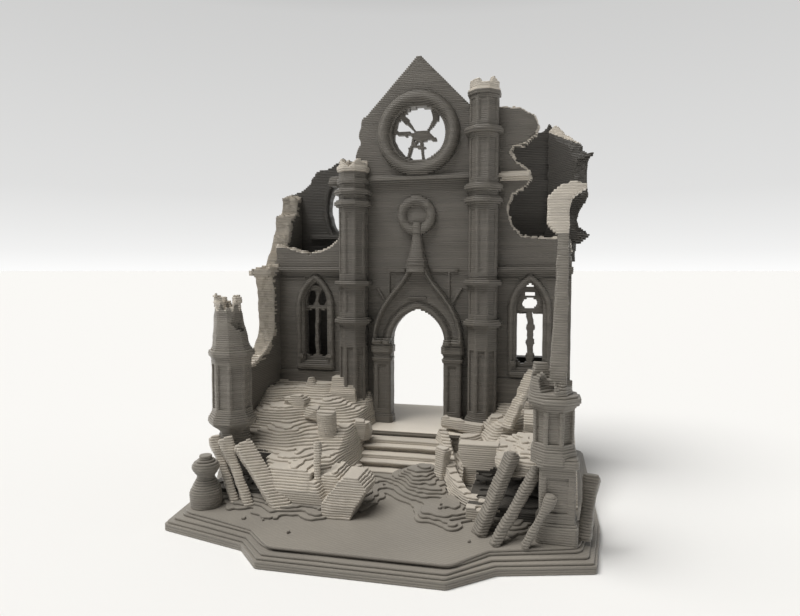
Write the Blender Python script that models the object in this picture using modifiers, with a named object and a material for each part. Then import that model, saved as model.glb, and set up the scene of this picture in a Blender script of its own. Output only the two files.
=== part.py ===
"""Miniature terrain ruin: a ruined gothic chapel front on a stepped plinth, as separate named solids.

Units are metres in Blender. The constants below are in millimetres and MM turns them into metres.
The frame: X runs along the front, Y goes back from the forecourt to the nave, Z is up.
The origin is under the middle of the plinth, on the face that it stands on.
"""
import math

import bmesh
import bpy
from mathutils import Euler, Vector

MM = 0.001
GAP = 0.3                      # clearance kept between neighbouring pieces
OBJECT_NAME = "terrain_ruin"

# Plinth
BASE_HALF_WIDTH = 28.4
BASE_FRONT_Y = -27.6
BASE_BACK_Y = 27.6
FLANK_Y = -21.0                # where the sides meet the slanted front flanks
BASE_BAND = 1.0                # height of the square-edged lowest band
GROUND_Z = 2.2                 # level of the forecourt
GROUND_INSET = 1.5
PLATFORM_Z = 7.4               # level of the chapel floor
PLATFORM_FRONT_Y = 6.0
PLATFORM_HALF_WIDTH = 25.4

# Stairs
STEPS = 6
STAIR_HALF_WIDTH = 7.0
STAIR_RUN = 9.8

# Front wall
FRONT_Y = 12.9                 # front face of the wall
WALL = 2.2                     # thickness of the wall
FRONT_HALF_WIDTH = 25.3
APEX_Z = 70.0
ROSE_Z = 57.0
ROSE_RADIUS = 4.7
ROSE_RING_RADIUS = 7.05
DOOR_HALF_WIDTH = 4.75
DOOR_SPRING_Z = 21.5
DOOR_APEX_Z = 27.4
STRING_Z = 34.0                # string course over the bay windows
TOP_STRING_Z = 49.8            # string course under the rose window
MEDALLION_Z = 43.2
MEDALLION_RADIUS = 3.3

# Lancet windows of the bays
WINDOW_X = 18.8
WINDOW_HALF_WIDTH = 2.1
WINDOW_SILL_Z = 17.7
WINDOW_SPRING_Z = 26.6
WINDOW_APEX_Z = 30.6
WINDOW_FRAME = 1.5             # width of the raised moulding around a window

# Octagonal columns of the front wall
COLUMN_X = 11.2
COLUMN_Y = 11.6
COLUMN_RADIUS = 2.35           # across the flats, halved
COLUMN_BACK_Y = FRONT_Y - GAP

# Side and rear walls
SIDE_INNER_X = 25.9
SIDE_WALL = 1.9
REAR_Y = 23.6
REAR_WALL = 1.9
TOWER_INNER_X = 11.8           # face of the towers' inner walls, towards the chapel
TOWER_WALL = 1.8
SLANT_START = (22.2, 22.0)     # plan ends of the slanted corner wall
SLANT_END = (27.6, 15.2)
SLANT_WALL = 1.5

STONE = (0.235, 0.215, 0.19)

model = bpy.data.collections.new(OBJECT_NAME)
cutters = bpy.data.collections.new("cutters")


def start_clean():
    """Remove every object of the scene and link the two collections."""
    for obj in list(bpy.data.objects):
        bpy.data.objects.remove(obj, do_unlink=True)
    bpy.context.scene.collection.children.link(model)
    bpy.context.scene.collection.children.link(cutters)


def print_plastic(name, tint):
    """Matt printed plastic, slightly lighter or darker from piece to piece."""
    mat = bpy.data.materials.new(name)
    mat.use_nodes = True
    shader = mat.node_tree.nodes["Principled BSDF"]
    shader.inputs["Base Color"].default_value = [channel * tint for channel in STONE] + [1.0]
    shader.inputs["Roughness"].default_value = 0.55
    shader.inputs["Metallic"].default_value = 0.0
    return mat


def add_object(name, mesh, tint=1.0, collection=None):
    """Put a mesh in the scene as a named sub-part with its own material."""
    obj = bpy.data.objects.new(name, mesh)
    (collection or model).objects.link(obj)
    if collection is None:
        mesh.materials.append(print_plastic(name + "_plastic", tint))
    return obj


def box_mesh(name, size):
    """A box of the given size about its own centre."""
    bm = bmesh.new()
    bmesh.ops.create_cube(bm, size=1.0)
    bmesh.ops.scale(bm, vec=Vector(size) * MM, verts=bm.verts)
    mesh = bpy.data.meshes.new(name)
    bm.to_mesh(mesh)
    bm.free()
    return mesh


def place(obj, position, turn=(0, 0, 0)):
    """Set an object's position in millimetres and its rotation in degrees."""
    obj.location = Vector(position) * MM
    obj.rotation_euler = Euler([math.radians(angle) for angle in turn])
    return obj


def box(name, low, high, tint=1.0, bevel=0.0, collection=None):
    """A box between two corners, with an optional small bevel."""
    size = [b - a for a, b in zip(low, high)]
    middle = [(a + b) / 2 for a, b in zip(low, high)]
    obj = place(add_object(name, box_mesh(name, size), tint, collection), middle)
    if bevel:
        soften(obj, bevel)
    return obj


def soften(obj, width, segments=1):
    """Bevel the edges that are sharper than 40 degrees."""
    mod = obj.modifiers.new("edge", "BEVEL")
    mod.width = width * MM
    mod.segments = segments
    mod.limit_method = "ANGLE"
    mod.angle_limit = math.radians(40)
    mod.use_clamp_overlap = True


def plate(name, outline, thickness, tint=1.0, collection=None):
    """A flat outline in its own XY plane, thickened evenly about that plane."""
    curve = bpy.data.curves.new(name, "CURVE")
    curve.dimensions = "2D"
    curve.fill_mode = "BOTH"
    curve.extrude = thickness / 2 * MM
    spline = curve.splines.new("POLY")
    spline.points.add(len(outline) - 1)
    for point, (x, y) in zip(spline.points, outline):
        point.co = (x * MM, y * MM, 0.0, 1.0)
    spline.use_cyclic_u = True
    guide = bpy.data.objects.new(name + "_outline", curve)
    cutters.objects.link(guide)
    depsgraph = bpy.context.evaluated_depsgraph_get()
    mesh = bpy.data.meshes.new_from_object(guide.evaluated_get(depsgraph))
    bpy.data.objects.remove(guide, do_unlink=True)
    bpy.data.curves.remove(curve)
    mesh.name = name
    mesh.materials.clear()
    bm = bmesh.new()
    bm.from_mesh(mesh)
    bmesh.ops.remove_doubles(bm, verts=bm.verts, dist=0.00001)
    bmesh.ops.recalc_face_normals(bm, faces=bm.faces)
    bm.to_mesh(mesh)
    bm.free()
    return add_object(name, mesh, tint, collection)


def slab(name, outline, z0, z1, tint=1.0):
    """A plan outline in X and Y between two heights."""
    return place(plate(name, outline, z1 - z0, tint), (0, 0, (z0 + z1) / 2))


def front_plate(name, outline, y0, y1, tint=1.0, collection=None):
    """An outline in X and Z, thickened between two depths."""
    return place(plate(name, outline, y1 - y0, tint, collection), (0, (y0 + y1) / 2, 0), (90, 0, 0))


def side_plate(name, outline, x0, x1, tint=1.0, collection=None):
    """An outline in Y and Z, thickened between two X positions."""
    return place(plate(name, outline, x1 - x0, tint, collection), ((x0 + x1) / 2, 0, 0), (90, 0, 90))


def cut(obj, cutter):
    """Take the cutter's volume out of an object."""
    mod = obj.modifiers.new("cut", "BOOLEAN")
    mod.operation = "DIFFERENCE"
    mod.solver = "EXACT"
    mod.object = cutter
    cutter.hide_render = True
    cutter.display_type = "WIRE"


def unite(obj, other):
    """Make another piece one body with this one."""
    mod = obj.modifiers.new("unite", "BOOLEAN")
    mod.operation = "UNION"
    mod.solver = "EXACT"
    mod.object = other
    other.hide_render = True
    other.display_type = "WIRE"


def turned(name, profile, x, y, sides=8, tint=1.0, collection=None):
    """A turned solid: radius and height pairs from top to bottom, closed on its axis.

    Eight sides give an octagon with flats to the front, and the radius is across those flats.
    """
    octagon = sides == 8
    reach = 1 / math.cos(math.pi / sides) if octagon else 1.0
    mesh = bpy.data.meshes.new(name)
    points = [(0.0, profile[0][1])] + list(profile) + [(0.0, profile[-1][1])]
    verts = [(radius * reach * MM, 0.0, height * MM) for radius, height in points]
    mesh.from_pydata(verts, [(i, i + 1) for i in range(len(verts) - 1)], [])
    obj = add_object(name, mesh, tint, collection)
    mod = obj.modifiers.new("turn", "SCREW")
    mod.axis = "Z"
    mod.steps = sides
    mod.render_steps = sides
    mod.use_merge_vertices = True
    mod.merge_threshold = 0.00001
    mod.use_smooth_shade = not octagon
    return place(obj, (x, y, 0), (0, 0, 180 / sides if octagon else 0))


def arc(cx, cz, radius, start, end, count):
    """Points along a circle between two angles in degrees, both ends included."""
    angles = [math.radians(start + (end - start) * i / count) for i in range(count + 1)]
    return [(cx + radius * math.cos(a), cz + radius * math.sin(a)) for a in angles]


def pointed_arch(cx, half_width, foot_z, spring_z, apex_z, count=6):
    """A gothic opening: straight jambs and two equal arcs that meet in a point."""
    rise = apex_z - spring_z
    radius = (rise ** 2 + half_width ** 2) / (2 * half_width)
    sweep = math.degrees(math.asin(min(1.0, rise / radius)))
    right = arc(cx + half_width - radius, spring_z, radius, 0, sweep, count)
    left = [(2 * cx - px, pz) for px, pz in reversed(right[:-1])]
    return [(cx + half_width, foot_z)] + right + left + [(cx - half_width, foot_z)]


def arch_band(cx, half_width, width, foot_z, spring_z, apex_z):
    """A moulding of even width that follows a pointed arch down both jambs."""
    outer = pointed_arch(cx, half_width + width, foot_z, spring_z, apex_z + width * 1.35)
    inner = pointed_arch(cx, half_width, foot_z, spring_z, apex_z)
    return outer + inner[::-1]


def mirrored(outline):
    """The same outline on the other side of the middle plane."""
    return [(-x, z) for x, z in reversed(outline)]


# ---------------------------------------------------------------- plinth


def plinth_outline(inset):
    """Plan of the plinth: a rectangle with a stepped, slanted front."""
    side = BASE_HALF_WIDTH - inset
    front = BASE_FRONT_Y + inset
    back = BASE_BACK_Y - inset
    chamfer = 4.0
    return [
        (-side + 1.3, FLANK_Y + inset),
        (-14.4 + inset * 0.4, -24.0 + inset),
        (-10.9 + inset * 0.5, front),
        (11.0 - inset * 0.2, front + 0.3),
        (16.2 - inset * 0.6, -23.1 + inset),
        (side - 1.3, FLANK_Y + 0.8 + inset),
        (side, -9.0),
        (side, back - chamfer),
        (side - chamfer, back),
        (-side + chamfer, back),
        (-side, back - chamfer),
        (-side, -9.0),
    ]


def make_plinth():
    soften(slab("base_slab", plinth_outline(0.0), 0.0, BASE_BAND, 0.95), 0.2)
    soften(slab("ground_slab", plinth_outline(GROUND_INSET), BASE_BAND + GAP, GROUND_Z), 0.4)
    low = (-PLATFORM_HALF_WIDTH, PLATFORM_FRONT_Y, GROUND_Z + GAP)
    high = (PLATFORM_HALF_WIDTH, BASE_BACK_Y - GROUND_INSET, PLATFORM_Z)
    box("chapel_floor", low, high, 1.05, 0.3)


def make_stairs():
    """Steps that climb from the forecourt to the chapel floor, each one a long block."""
    rise = (PLATFORM_Z - GROUND_Z) / (STEPS + 1)
    run = STAIR_RUN / STEPS
    for number in range(STEPS):
        top = GROUND_Z + rise * (number + 1)
        front = PLATFORM_FRONT_Y - STAIR_RUN + run * number
        low = (-STAIR_HALF_WIDTH, front, GROUND_Z + GAP)
        high = (STAIR_HALF_WIDTH, front + run - GAP, top)
        box(f"step_{number + 1}", low, high, 1.0 + 0.02 * (number % 2), 0.12)


# ---------------------------------------------------------------- front wall


def make_centre_wall():
    """The gabled wall between the two columns, cut by the door and the rose window."""
    half = COLUMN_X - GAP / 2
    outline = [
        (-half, PLATFORM_Z + GAP), (half, PLATFORM_Z + GAP), (half, 58.9), (0, APEX_Z),
        (-half + 0.8, 59.4), (-half + 0.5, 57.0), (-half + 0.9, 55.2), (-half, 53.6),
    ]
    wall = front_plate("centre_wall", outline, FRONT_Y, FRONT_Y + WALL, 0.9)
    door = pointed_arch(0, DOOR_HALF_WIDTH, PLATFORM_Z - 1, DOOR_SPRING_Z, DOOR_APEX_Z)
    cut(wall, front_plate("door_cutter", door, FRONT_Y - 2, FRONT_Y + WALL + 2, 1.0, cutters))
    rose = arc(0, ROSE_Z, ROSE_RADIUS, 0, 352.5, 47)
    cut(wall, front_plate("rose_cutter", rose, FRONT_Y - 2, FRONT_Y + WALL + 2, 1.0, cutters))


def make_rose_window():
    """The raised ring of the rose window and what is left of its tracery."""
    ring = front_plate("rose_ring", arc(0, ROSE_Z, ROSE_RING_RADIUS, 0, 350, 35),
                       FRONT_Y - 1.4, FRONT_Y - GAP, 1.0)
    soften(ring, 0.5, 2)
    hole = arc(0, ROSE_Z, ROSE_RADIUS + 0.1, 0, 350, 35)
    cut(ring, front_plate("ring_cutter", hole, FRONT_Y - 4, FRONT_Y + 4, 1.0, cutters))
    reach = ROSE_RADIUS - GAP
    tracery = [
        (-reach, 0.5), (-2.2, 0.4), (-2.9, 2.6), (-2.0, 3.2), (-1.0, 1.2), (0.6, 1.0), (1.6, 2.8),
        (2.6, 2.5), (1.9, 0.6), (2.3, -0.6), (0.9, -1.4), (1.3, -4.0), (0.3, -4.2), (-0.1, -1.7),
        (-1.2, -1.9), (-1.6, -4.1), (-2.4, -3.6), (-1.9, -1.2), (-2.5, -0.3), (-reach, -0.4),
    ]
    lifted = [(x, z + ROSE_Z) for x, z in tracery]
    front_plate("rose_tracery", lifted, FRONT_Y + 0.4, FRONT_Y + 1.6, 0.85)


def make_door_surround():
    """Jamb piers with their imposts, the ogee hood over the door, its finial and the medallion."""
    front = FRONT_Y - 1.6
    back = FRONT_Y - GAP
    neck = DOOR_SPRING_Z - 2.0
    jamb = [(DOOR_HALF_WIDTH + 0.1, PLATFORM_Z + GAP), (DOOR_HALF_WIDTH + 2.9, PLATFORM_Z + GAP),
            (DOOR_HALF_WIDTH + 2.9, neck), (DOOR_HALF_WIDTH + 3.3, neck + 0.5),
            (DOOR_HALF_WIDTH + 3.3, DOOR_SPRING_Z - 0.2), (DOOR_HALF_WIDTH - 0.1, DOOR_SPRING_Z - 0.2),
            (DOOR_HALF_WIDTH - 0.1, neck + 0.5), (DOOR_HALF_WIDTH + 0.1, neck)]
    soften(front_plate("right_door_jamb", jamb, front, back, 0.95), 0.25)
    soften(front_plate("left_door_jamb", mirrored(jamb), front, back, 0.95), 0.25)
    half_hood = [(7.9, DOOR_SPRING_Z + 0.1), (7.7, 24.6), (6.2, 27.6), (4.0, 30.0), (2.2, 32.0),
                 (1.1, 34.4)]
    inner = pointed_arch(0, DOOR_HALF_WIDTH + 0.1, DOOR_SPRING_Z + 0.1, DOOR_SPRING_Z + 0.2,
                         DOOR_APEX_Z + 0.1)
    outline = half_hood + [(-x, z) for x, z in reversed(half_hood)] + inner[::-1]
    soften(front_plate("door_hood", outline, front, back, 1.0), 0.35)
    finial = [(0.25, 41.0), (0.6, 38.6), (0.85, 36.6), (1.35, 36.2), (0.9, 35.6), (1.2, 34.7)]
    turned("hood_finial", finial, -0.1, FRONT_Y - 1.7, 12, 1.05)
    disc = front_plate("medallion", arc(-0.2, MEDALLION_Z, MEDALLION_RADIUS, 0, 345, 23),
                       FRONT_Y - 1.1, FRONT_Y - GAP, 1.0)
    soften(disc, 0.3, 2)
    recess = arc(-0.2, MEDALLION_Z, MEDALLION_RADIUS - 0.9, 0, 345, 23)
    cut(disc, front_plate("medallion_cutter", recess, FRONT_Y - 4, FRONT_Y - 0.7, 1.0, cutters))


LEFT_BAY_TOP = [(-13.9, 40.4), (-15.6, 38.2), (-17.8, 37.3), (-19.9, 37.1), (-22.1, 37.5),
                (-24.0, 38.2), (-FRONT_HALF_WIDTH, 38.4)]
RIGHT_BAY_TOP = [(FRONT_HALF_WIDTH - 0.3, 39.4), (17.2, 39.6), (15.6, 41.8), (15.1, 45.2),
                 (16.6, 47.0), (18.6, 48.1), (18.8, 49.9), (16.4, 51.8), (15.6, 53.4),
                 (17.8, 54.4), (19.4, 56.0), (20.0, 57.6), (18.9, 59.4), (16.6, 60.6),
                 (13.9, 60.8)]


def make_bays():
    """The walls outside the columns, their lancet windows, frames, tracery and string courses."""
    inner = COLUMN_X + GAP / 2
    foot = PLATFORM_Z + GAP
    left = [(-FRONT_HALF_WIDTH, foot), (-inner, foot), (-inner, 52.0), (-13.5, 51.8)] + LEFT_BAY_TOP
    right = [(inner, foot), (FRONT_HALF_WIDTH - 0.3, foot)] + RIGHT_BAY_TOP + [(inner, 60.2)]
    for side, word, outline in ((-1, "left", left), (1, "right", right)):
        wall = front_plate(f"{word}_bay_wall", outline, FRONT_Y, FRONT_Y + WALL, 0.88)
        centre = side * WINDOW_X
        window = pointed_arch(centre, WINDOW_HALF_WIDTH, WINDOW_SILL_Z, WINDOW_SPRING_Z,
                              WINDOW_APEX_Z)
        cut(wall, front_plate(f"{word}_window_cutter", window, FRONT_Y - 2, FRONT_Y + WALL + 2,
                              1.0, cutters))
        band = arch_band(centre, WINDOW_HALF_WIDTH + 0.1, WINDOW_FRAME, WINDOW_SILL_Z - 0.6,
                         WINDOW_SPRING_Z, WINDOW_APEX_Z + 0.1)
        front_plate(f"{word}_window_frame", band, FRONT_Y - 0.8, FRONT_Y - GAP, 0.95)
        make_window_tracery(word, centre)
        ends = sorted((side * (inner + 2.6), side * (FRONT_HALF_WIDTH - 0.4)))
        low = (ends[0], FRONT_Y - 1.1, STRING_Z - 0.5)
        high = (ends[1], FRONT_Y - GAP, STRING_Z + 0.3)
        box(f"{word}_string_course", low, high, 1.05, 0.25)
    low = (-COLUMN_X + 2.9, FRONT_Y - 1.1, TOP_STRING_Z - 0.65)
    high = (COLUMN_X - 2.9, FRONT_Y - GAP, TOP_STRING_Z + 0.05)
    box("top_string_course", low, high, 1.05, 0.2)


def make_window_tracery(word, centre):
    """A slim mullion crossed by a transom, as one cross standing in the opening."""
    reach = WINDOW_HALF_WIDTH - GAP
    half_bar = 0.28
    transom_z = 25.6 if word == "left" else 20.0
    cross = [
        (-half_bar, WINDOW_SILL_Z + GAP), (half_bar, WINDOW_SILL_Z + GAP),
        (half_bar, transom_z - half_bar), (reach, transom_z - half_bar),
        (reach, transom_z + half_bar), (half_bar, transom_z + half_bar),
        (half_bar, WINDOW_APEX_Z - 1.3), (-half_bar, WINDOW_APEX_Z - 1.3),
        (-half_bar, transom_z + half_bar), (-reach, transom_z + half_bar),
        (-reach, transom_z - half_bar), (-half_bar, transom_z - half_bar),
    ]
    outline = [(centre + x, z) for x, z in cross]
    front_plate(f"{word}_window_tracery", outline, FRONT_Y + 0.7, FRONT_Y + 1.5, 0.85)


def ringed(top, bottom, rings, radius=COLUMN_RADIUS, swell=0.55):
    """Profile of a column drum from top to bottom, with a rounded ring at each given height."""
    profile = [(radius, top)]
    for height in sorted(rings, reverse=True):
        profile += [(radius, height + 0.55), (radius + swell, height + 0.25),
                    (radius + swell, height - 0.25), (radius, height - 0.55)]
    return profile + [(radius, bottom)]


def make_columns():
    """Engaged octagonal columns, built of drums that stand on each other, cut flat at the back."""
    foot = [(COLUMN_RADIUS + 0.5, PLATFORM_Z + 1.4), (COLUMN_RADIUS + 0.5, PLATFORM_Z + GAP)]
    drums = {
        "left_column_lower": (-1, ringed(25.9, 9.4, [25.2]) + foot),
        "left_column_middle": (-1, ringed(32.3, 26.2, [31.7])),
        "left_column_upper": (-1, ringed(52.2, 32.6, [47.2, 45.3])),
        "right_column_lower": (1, ringed(25.9, 9.4, [25.2]) + foot),
        "right_column_middle": (1, ringed(32.6, 26.2, [31.9])),
        "right_column_upper": (1, ringed(48.1, 32.9, [47.4, 45.3])),
        "right_column_cap": (1, ringed(63.4, 48.4, [56.5])),
    }
    low = (-40, COLUMN_BACK_Y, -10)
    high = (40, COLUMN_BACK_Y + 20, 90)
    back = box("column_back_cutter", low, high, 1.0, 0.0, cutters)
    for name, (side, profile) in drums.items():
        tint = 1.1 if name.endswith("cap") else 0.95
        cut(turned(name, profile, side * COLUMN_X, COLUMN_Y, 8, tint), back)


# ---------------------------------------------------------------- side and rear walls


def tower_wall(word, side, rear, window):
    """A tower's rear wall with its window, and the inner wall that returns from it to the front wall."""
    wall = front_plate(f"{word}_rear_wall", rear, REAR_Y, REAR_Y + REAR_WALL, 0.8)
    foot = PLATFORM_Z + GAP
    front = FRONT_Y + WALL + GAP
    back = REAR_Y + REAR_WALL
    inner = [(front, foot), (back, foot), (back, 44.0), (22.8, 43.0), (20.0, 39.4), (17.2, 37.6),
             (front, 37.2)]
    ends = sorted((side * TOWER_INNER_X, side * (TOWER_INNER_X + TOWER_WALL)))
    unite(wall, side_plate(f"{word}_inner_wall", inner, ends[0], ends[1], 1.0, cutters))
    cut(wall, front_plate(f"{word}_rear_window_cutter", window, REAR_Y - 2, back + 2, 1.0, cutters))


def make_side_walls():
    """Broken side walls, and the rear and inner walls that close the two towers."""
    outer = SIDE_INNER_X + SIDE_WALL
    ground = GROUND_Z + GAP
    left = [
        (-3.4, ground), (25.6, ground), (25.6, 49.0), (23.0, 48.6), (18.9, 47.4), (18.6, 44.4),
        (15.6, 43.4), (13.9, 38.4), (11.6, 34.6), (8.2, 34.0), (7.8, 31.6), (8.3, 29.4),
        (8.1, 22.6), (4.9, 19.0), (-3.4, 18.6),
    ]
    side_plate("left_side_wall", left, -outer, -SIDE_INNER_X, 0.92)
    rear_foot = PLATFORM_Z + GAP
    rear = [(-25.3, rear_foot), (-TOWER_INNER_X, rear_foot), (-TOWER_INNER_X, 40.0),
            (-13.0, 46.0), (-13.6, 52.5), (-17.0, 55.0), (-20.3, 53.2), (-22.5, 53.0),
            (-25.3, 49.2)]
    tower_wall("left", -1, rear, pointed_arch(-18.0, 2.6, 41.2, 47.0, 50.4))
    rear = [(TOWER_INNER_X, rear_foot), (22.4, rear_foot), (22.4, 58.4), (21.3, 59.6),
            (19.1, 58.2), (16.5, 57.2), (13.4, 55.8), (TOWER_INNER_X, 51.0)]
    tower_wall("right", 1, rear, pointed_arch(18.6, 2.9, 18.1, 27.6, 32.4))
    right = [(15.6, rear_foot), (25.6, rear_foot), (25.4, 22.0), (22.6, 30.5), (19.0, 35.6)]
    right += [(15.6, 35.7)]
    side_plate("right_side_wall", right, 22.8, 24.7, 0.85)
    make_slanted_corner()


def make_slanted_corner():
    """The high torn wall that closes the right tower's corner at a slant."""
    corner = [
        (0.3, 36.2), (5.4, 36.2), (5.6, 38.2), (7.4, 38.9), (8.9, 39.7), (6.9, 41.2), (6.3, 42.5),
        (7.2, 43.7), (8.4, 45.8), (8.3, 50.8), (9.0, 52.8), (7.1, 53.8), (6.7, 54.8),
        (4.9, 56.0), (2.9, 57.0), (0.3, 58.6),
    ]
    wall = plate("right_corner_wall", corner, SLANT_WALL, 0.8)
    run = (SLANT_END[0] - SLANT_START[0], SLANT_END[1] - SLANT_START[1])
    angle = math.degrees(math.atan2(run[1], run[0]))
    place(wall, (SLANT_START[0], SLANT_START[1], 0), (90, 0, angle))


# ---------------------------------------------------------------- forecourt pillars


def make_left_pillar():
    """The octagonal pillar at the end of the left side wall."""
    x, y = -24.35, -7.4
    shaft = [(2.9, 22.2), (3.15, 21.95), (3.15, 21.5), (2.7, 21.2), (2.7, 12.6), (3.3, 12.0),
             (3.3, 11.3), (2.1, 10.2)]
    turned("left_pillar_shaft", shaft, x, y, 8, 0.95)
    top = [(1.8, 30.2), (2.0, 26.0), (2.6, 22.5)]
    stump = turned("left_pillar_broken_top", top, x - 0.3, y, 12, 1.05)
    notch = box("left_pillar_notch", (x - 0.6, y - 4, 28.9), (x + 0.5, y + 4, 33), 1.0, 0.0, cutters)
    cut(stump, notch)


def make_left_footing():
    """The mound of packed rubble that carries the left pillar."""
    mound = [(2.0, 9.9), (2.7, 8.6), (2.4, 6.0), (2.8, 3.6), (2.9, GROUND_Z + GAP)]
    turned("left_pillar_footing", mound, -24.3, -7.0, 10, 1.05)


def make_right_pillar():
    """The right forecourt pillar on its square block, with a shard of wall left standing on it."""
    x, y = 22.7, -15.9
    box("right_pillar_block", (x - 2.1, y - 2.1, GROUND_Z + GAP), (x + 2.1, y + 2.1, 12.1), 0.95, 0.35)
    shaft = [(2.5, 19.3), (2.95, 19.1), (2.95, 18.6), (2.35, 18.3), (2.35, 13.4), (2.5, 13.0),
             (2.5, 12.4)]
    turned("right_pillar_shaft", shaft, x - 0.5, y, 8, 0.95)
    cap = [(2.0, 21.8), (2.4, 20.6), (2.5, 19.6)]
    turned("right_pillar_broken_top", cap, x - 0.9, y, 8, 1.05)
    shard = [
        (21.9, 22.1), (23.4, 22.1), (23.6, 36.6), (23.6, 41.0), (25.2, 42.6), (25.4, 44.0),
        (23.0, 44.1), (21.6, 43.2), (21.2, 41.9), (21.2, 39.4), (22.3, 38.0), (22.2, 34.0),
    ]
    front_plate("right_wall_shard", shard, y - 0.9, y + 0.9, 1.15)


# ---------------------------------------------------------------- rubble


def heap(name, low, high, height, cells, tint=1.0):
    """A rubble heap: a grid raised by a smooth height function and closed by a flat underside."""
    bm = bmesh.new()
    bmesh.ops.create_grid(bm, x_segments=cells[0], y_segments=cells[1], size=0.5)
    floor = low[2]
    for vert in bm.verts:
        x = low[0] + (vert.co.x + 0.5) * (high[0] - low[0])
        y = low[1] + (vert.co.y + 0.5) * (high[1] - low[1])
        vert.co = Vector((x, y, max(floor + 0.35, height(x, y)))) * MM
    top = list(bm.faces)
    result = bmesh.ops.extrude_face_region(bm, geom=top)
    for item in result["geom"]:
        if isinstance(item, bmesh.types.BMVert):
            item.co.z = floor * MM
    bmesh.ops.recalc_face_normals(bm, faces=bm.faces)
    mesh = bpy.data.meshes.new(name)
    bm.to_mesh(mesh)
    bm.free()
    return add_object(name, mesh, tint)


def smooth_step(value):
    """Ease from 0 to 1."""
    value = min(1.0, max(0.0, value))
    return value * value * (3 - 2 * value)


def left_heap_height(x, y):
    """Rubble banked against the left bay, falling to the forecourt and to the stairs."""
    back = 14.4 - 0.32 * max(0.0, 12.6 - y)
    edge = smooth_step((-4.0 - x) / 7.0) * 0.75 + 0.25 * smooth_step((-4.0 - x) / 18.0)
    ripple = 0.5 * math.sin(0.55 * x + 0.4 * y) + 0.35 * math.sin(0.9 * y - 0.3 * x)
    front = smooth_step((y + 15.5) / 6.0)
    return GROUND_Z + (back - GROUND_Z + ripple) * edge * (0.25 + 0.75 * front)


def right_heap_height(x, y):
    """Rubble banked against the right bay."""
    back = 11.0 - 0.40 * max(0.0, 11.0 - y)
    edge = smooth_step((x - 5.0) / 6.0)
    ripple = 0.4 * math.sin(0.7 * x - 0.5 * y) + 0.3 * math.sin(0.8 * y + 0.2 * x)
    front = smooth_step((y + 13.0) / 8.0)
    return GROUND_Z + (back - GROUND_Z + ripple) * edge * (0.1 + 0.9 * front)


def leaning(name, foot, head, width, thick, spin=0.0, tint=1.0):
    """A plank or post from its foot to its head, spun about its own length."""
    start = Vector(foot)
    axis = Vector(head) - start
    obj = add_object(name, box_mesh(name, (width, thick, axis.length)), tint)
    obj.location = (start + axis / 2) * MM
    turn = axis.to_track_quat("Z", "Y") @ Euler((0, 0, math.radians(spin))).to_quaternion()
    obj.rotation_euler = turn.to_euler()
    soften(obj, min(width, thick) * 0.2)
    return obj


def make_rubble():
    """Loose debris that lies in front of the heaps."""
    floor = GROUND_Z + GAP
    heap("left_rubble_heap", (-20.9, -11.6, floor), (-7.3, 5.7, 0), left_heap_height, (14, 16), 1.1)
    heap("left_rubble_bank", (-25.1, 6.3, PLATFORM_Z + GAP), (-14.2, 12.3, 0), left_heap_height,
         (10, 6), 1.1)
    heap("right_rubble_heap", (7.3, -8.4, floor), (20.3, 5.7, 0), right_heap_height, (12, 13), 1.1)
    heap("right_rubble_bank", (14.2, 6.3, PLATFORM_Z + GAP), (25.0, 12.3, 0), right_heap_height,
         (10, 6), 1.1)
    front_slab = [(-6.6, floor), (-2.9, floor), (-1.0, 5.8), (-2.4, 7.0), (-4.4, 7.0), (-7.0, 3.6)]
    soften(front_plate("fallen_slab", front_slab, -17.0, -12.2, 1.15), 0.5)
    leaning("left_board_1", (-14.6, -16.2, 2.9), (-20.3, -12.6, 9.4), 2.4, 1.2, 20, 1.0)
    leaning("left_board_2", (-17.3, -16.0, 2.9), (-22.6, -12.6, 9.5), 1.2, 1.1, 20, 0.95)
    leaning("left_board_3", (-19.5, -15.6, 2.9), (-24.3, -12.4, 9.6), 1.1, 1.1, 20, 0.9)
    stump = [(1.3, 8.0), (1.6, 7.0), (0.95, 6.0), (1.9, 4.6), (2.0, floor)]
    turned("baluster_stump", stump, -23.4, -16.6, 16, 0.95)
    tread = [(10.5, 6.4), (14.7, 6.4), (15.4, 7.4), (15.4, 9.7), (9.8, 9.7), (9.8, 7.4)]
    soften(front_plate("rounded_block", tread, -8.2, -5.2, 1.15), 0.4)
    leaning("fallen_log", (5.4, 8.6, 8.7), (11.8, 7.0, 8.7), 1.6, 1.6, 10, 1.1)
    leaning("right_plank_1", (13.6, -16.3, 3.0), (17.0, -13.2, 10.8), 2.0, 1.3, 25, 1.1)
    leaning("right_plank_2", (15.7, -20.2, 3.0), (19.6, -15.0, 9.6), 1.5, 1.2, 25, 1.1)
    leaning("right_plank_3", (19.0, -20.4, 3.0), (21.6, -18.9, 7.0), 1.1, 1.0, 25, 1.1)
    leaning("corner_post", (26.2, -15.6, 2.9), (26.9, -12.4, 8.2), 1.3, 1.3, 0, 0.9)


def build():
    start_clean()
    make_plinth()
    make_stairs()
    make_centre_wall()
    make_rose_window()
    make_door_surround()
    make_bays()
    make_columns()
    make_side_walls()
    make_left_pillar()
    make_left_footing()
    make_right_pillar()
    make_rubble()


build()
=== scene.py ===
"""Miniature terrain ruin: the printed surface, the studio round it and the camera.

The object is one print in warm grey plastic, so every piece is built the way the printer built it:
a solid is described by a distance function, cut into 0.3 mm layers, and each layer becomes a flat bead
with rounded edges. Places are in millimetres in the CAD frame, and MM turns them into metres.
"""

import math

import bpy
import numpy as np
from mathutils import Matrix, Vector
from mathutils.geometry import tessellate_polygon


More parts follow.
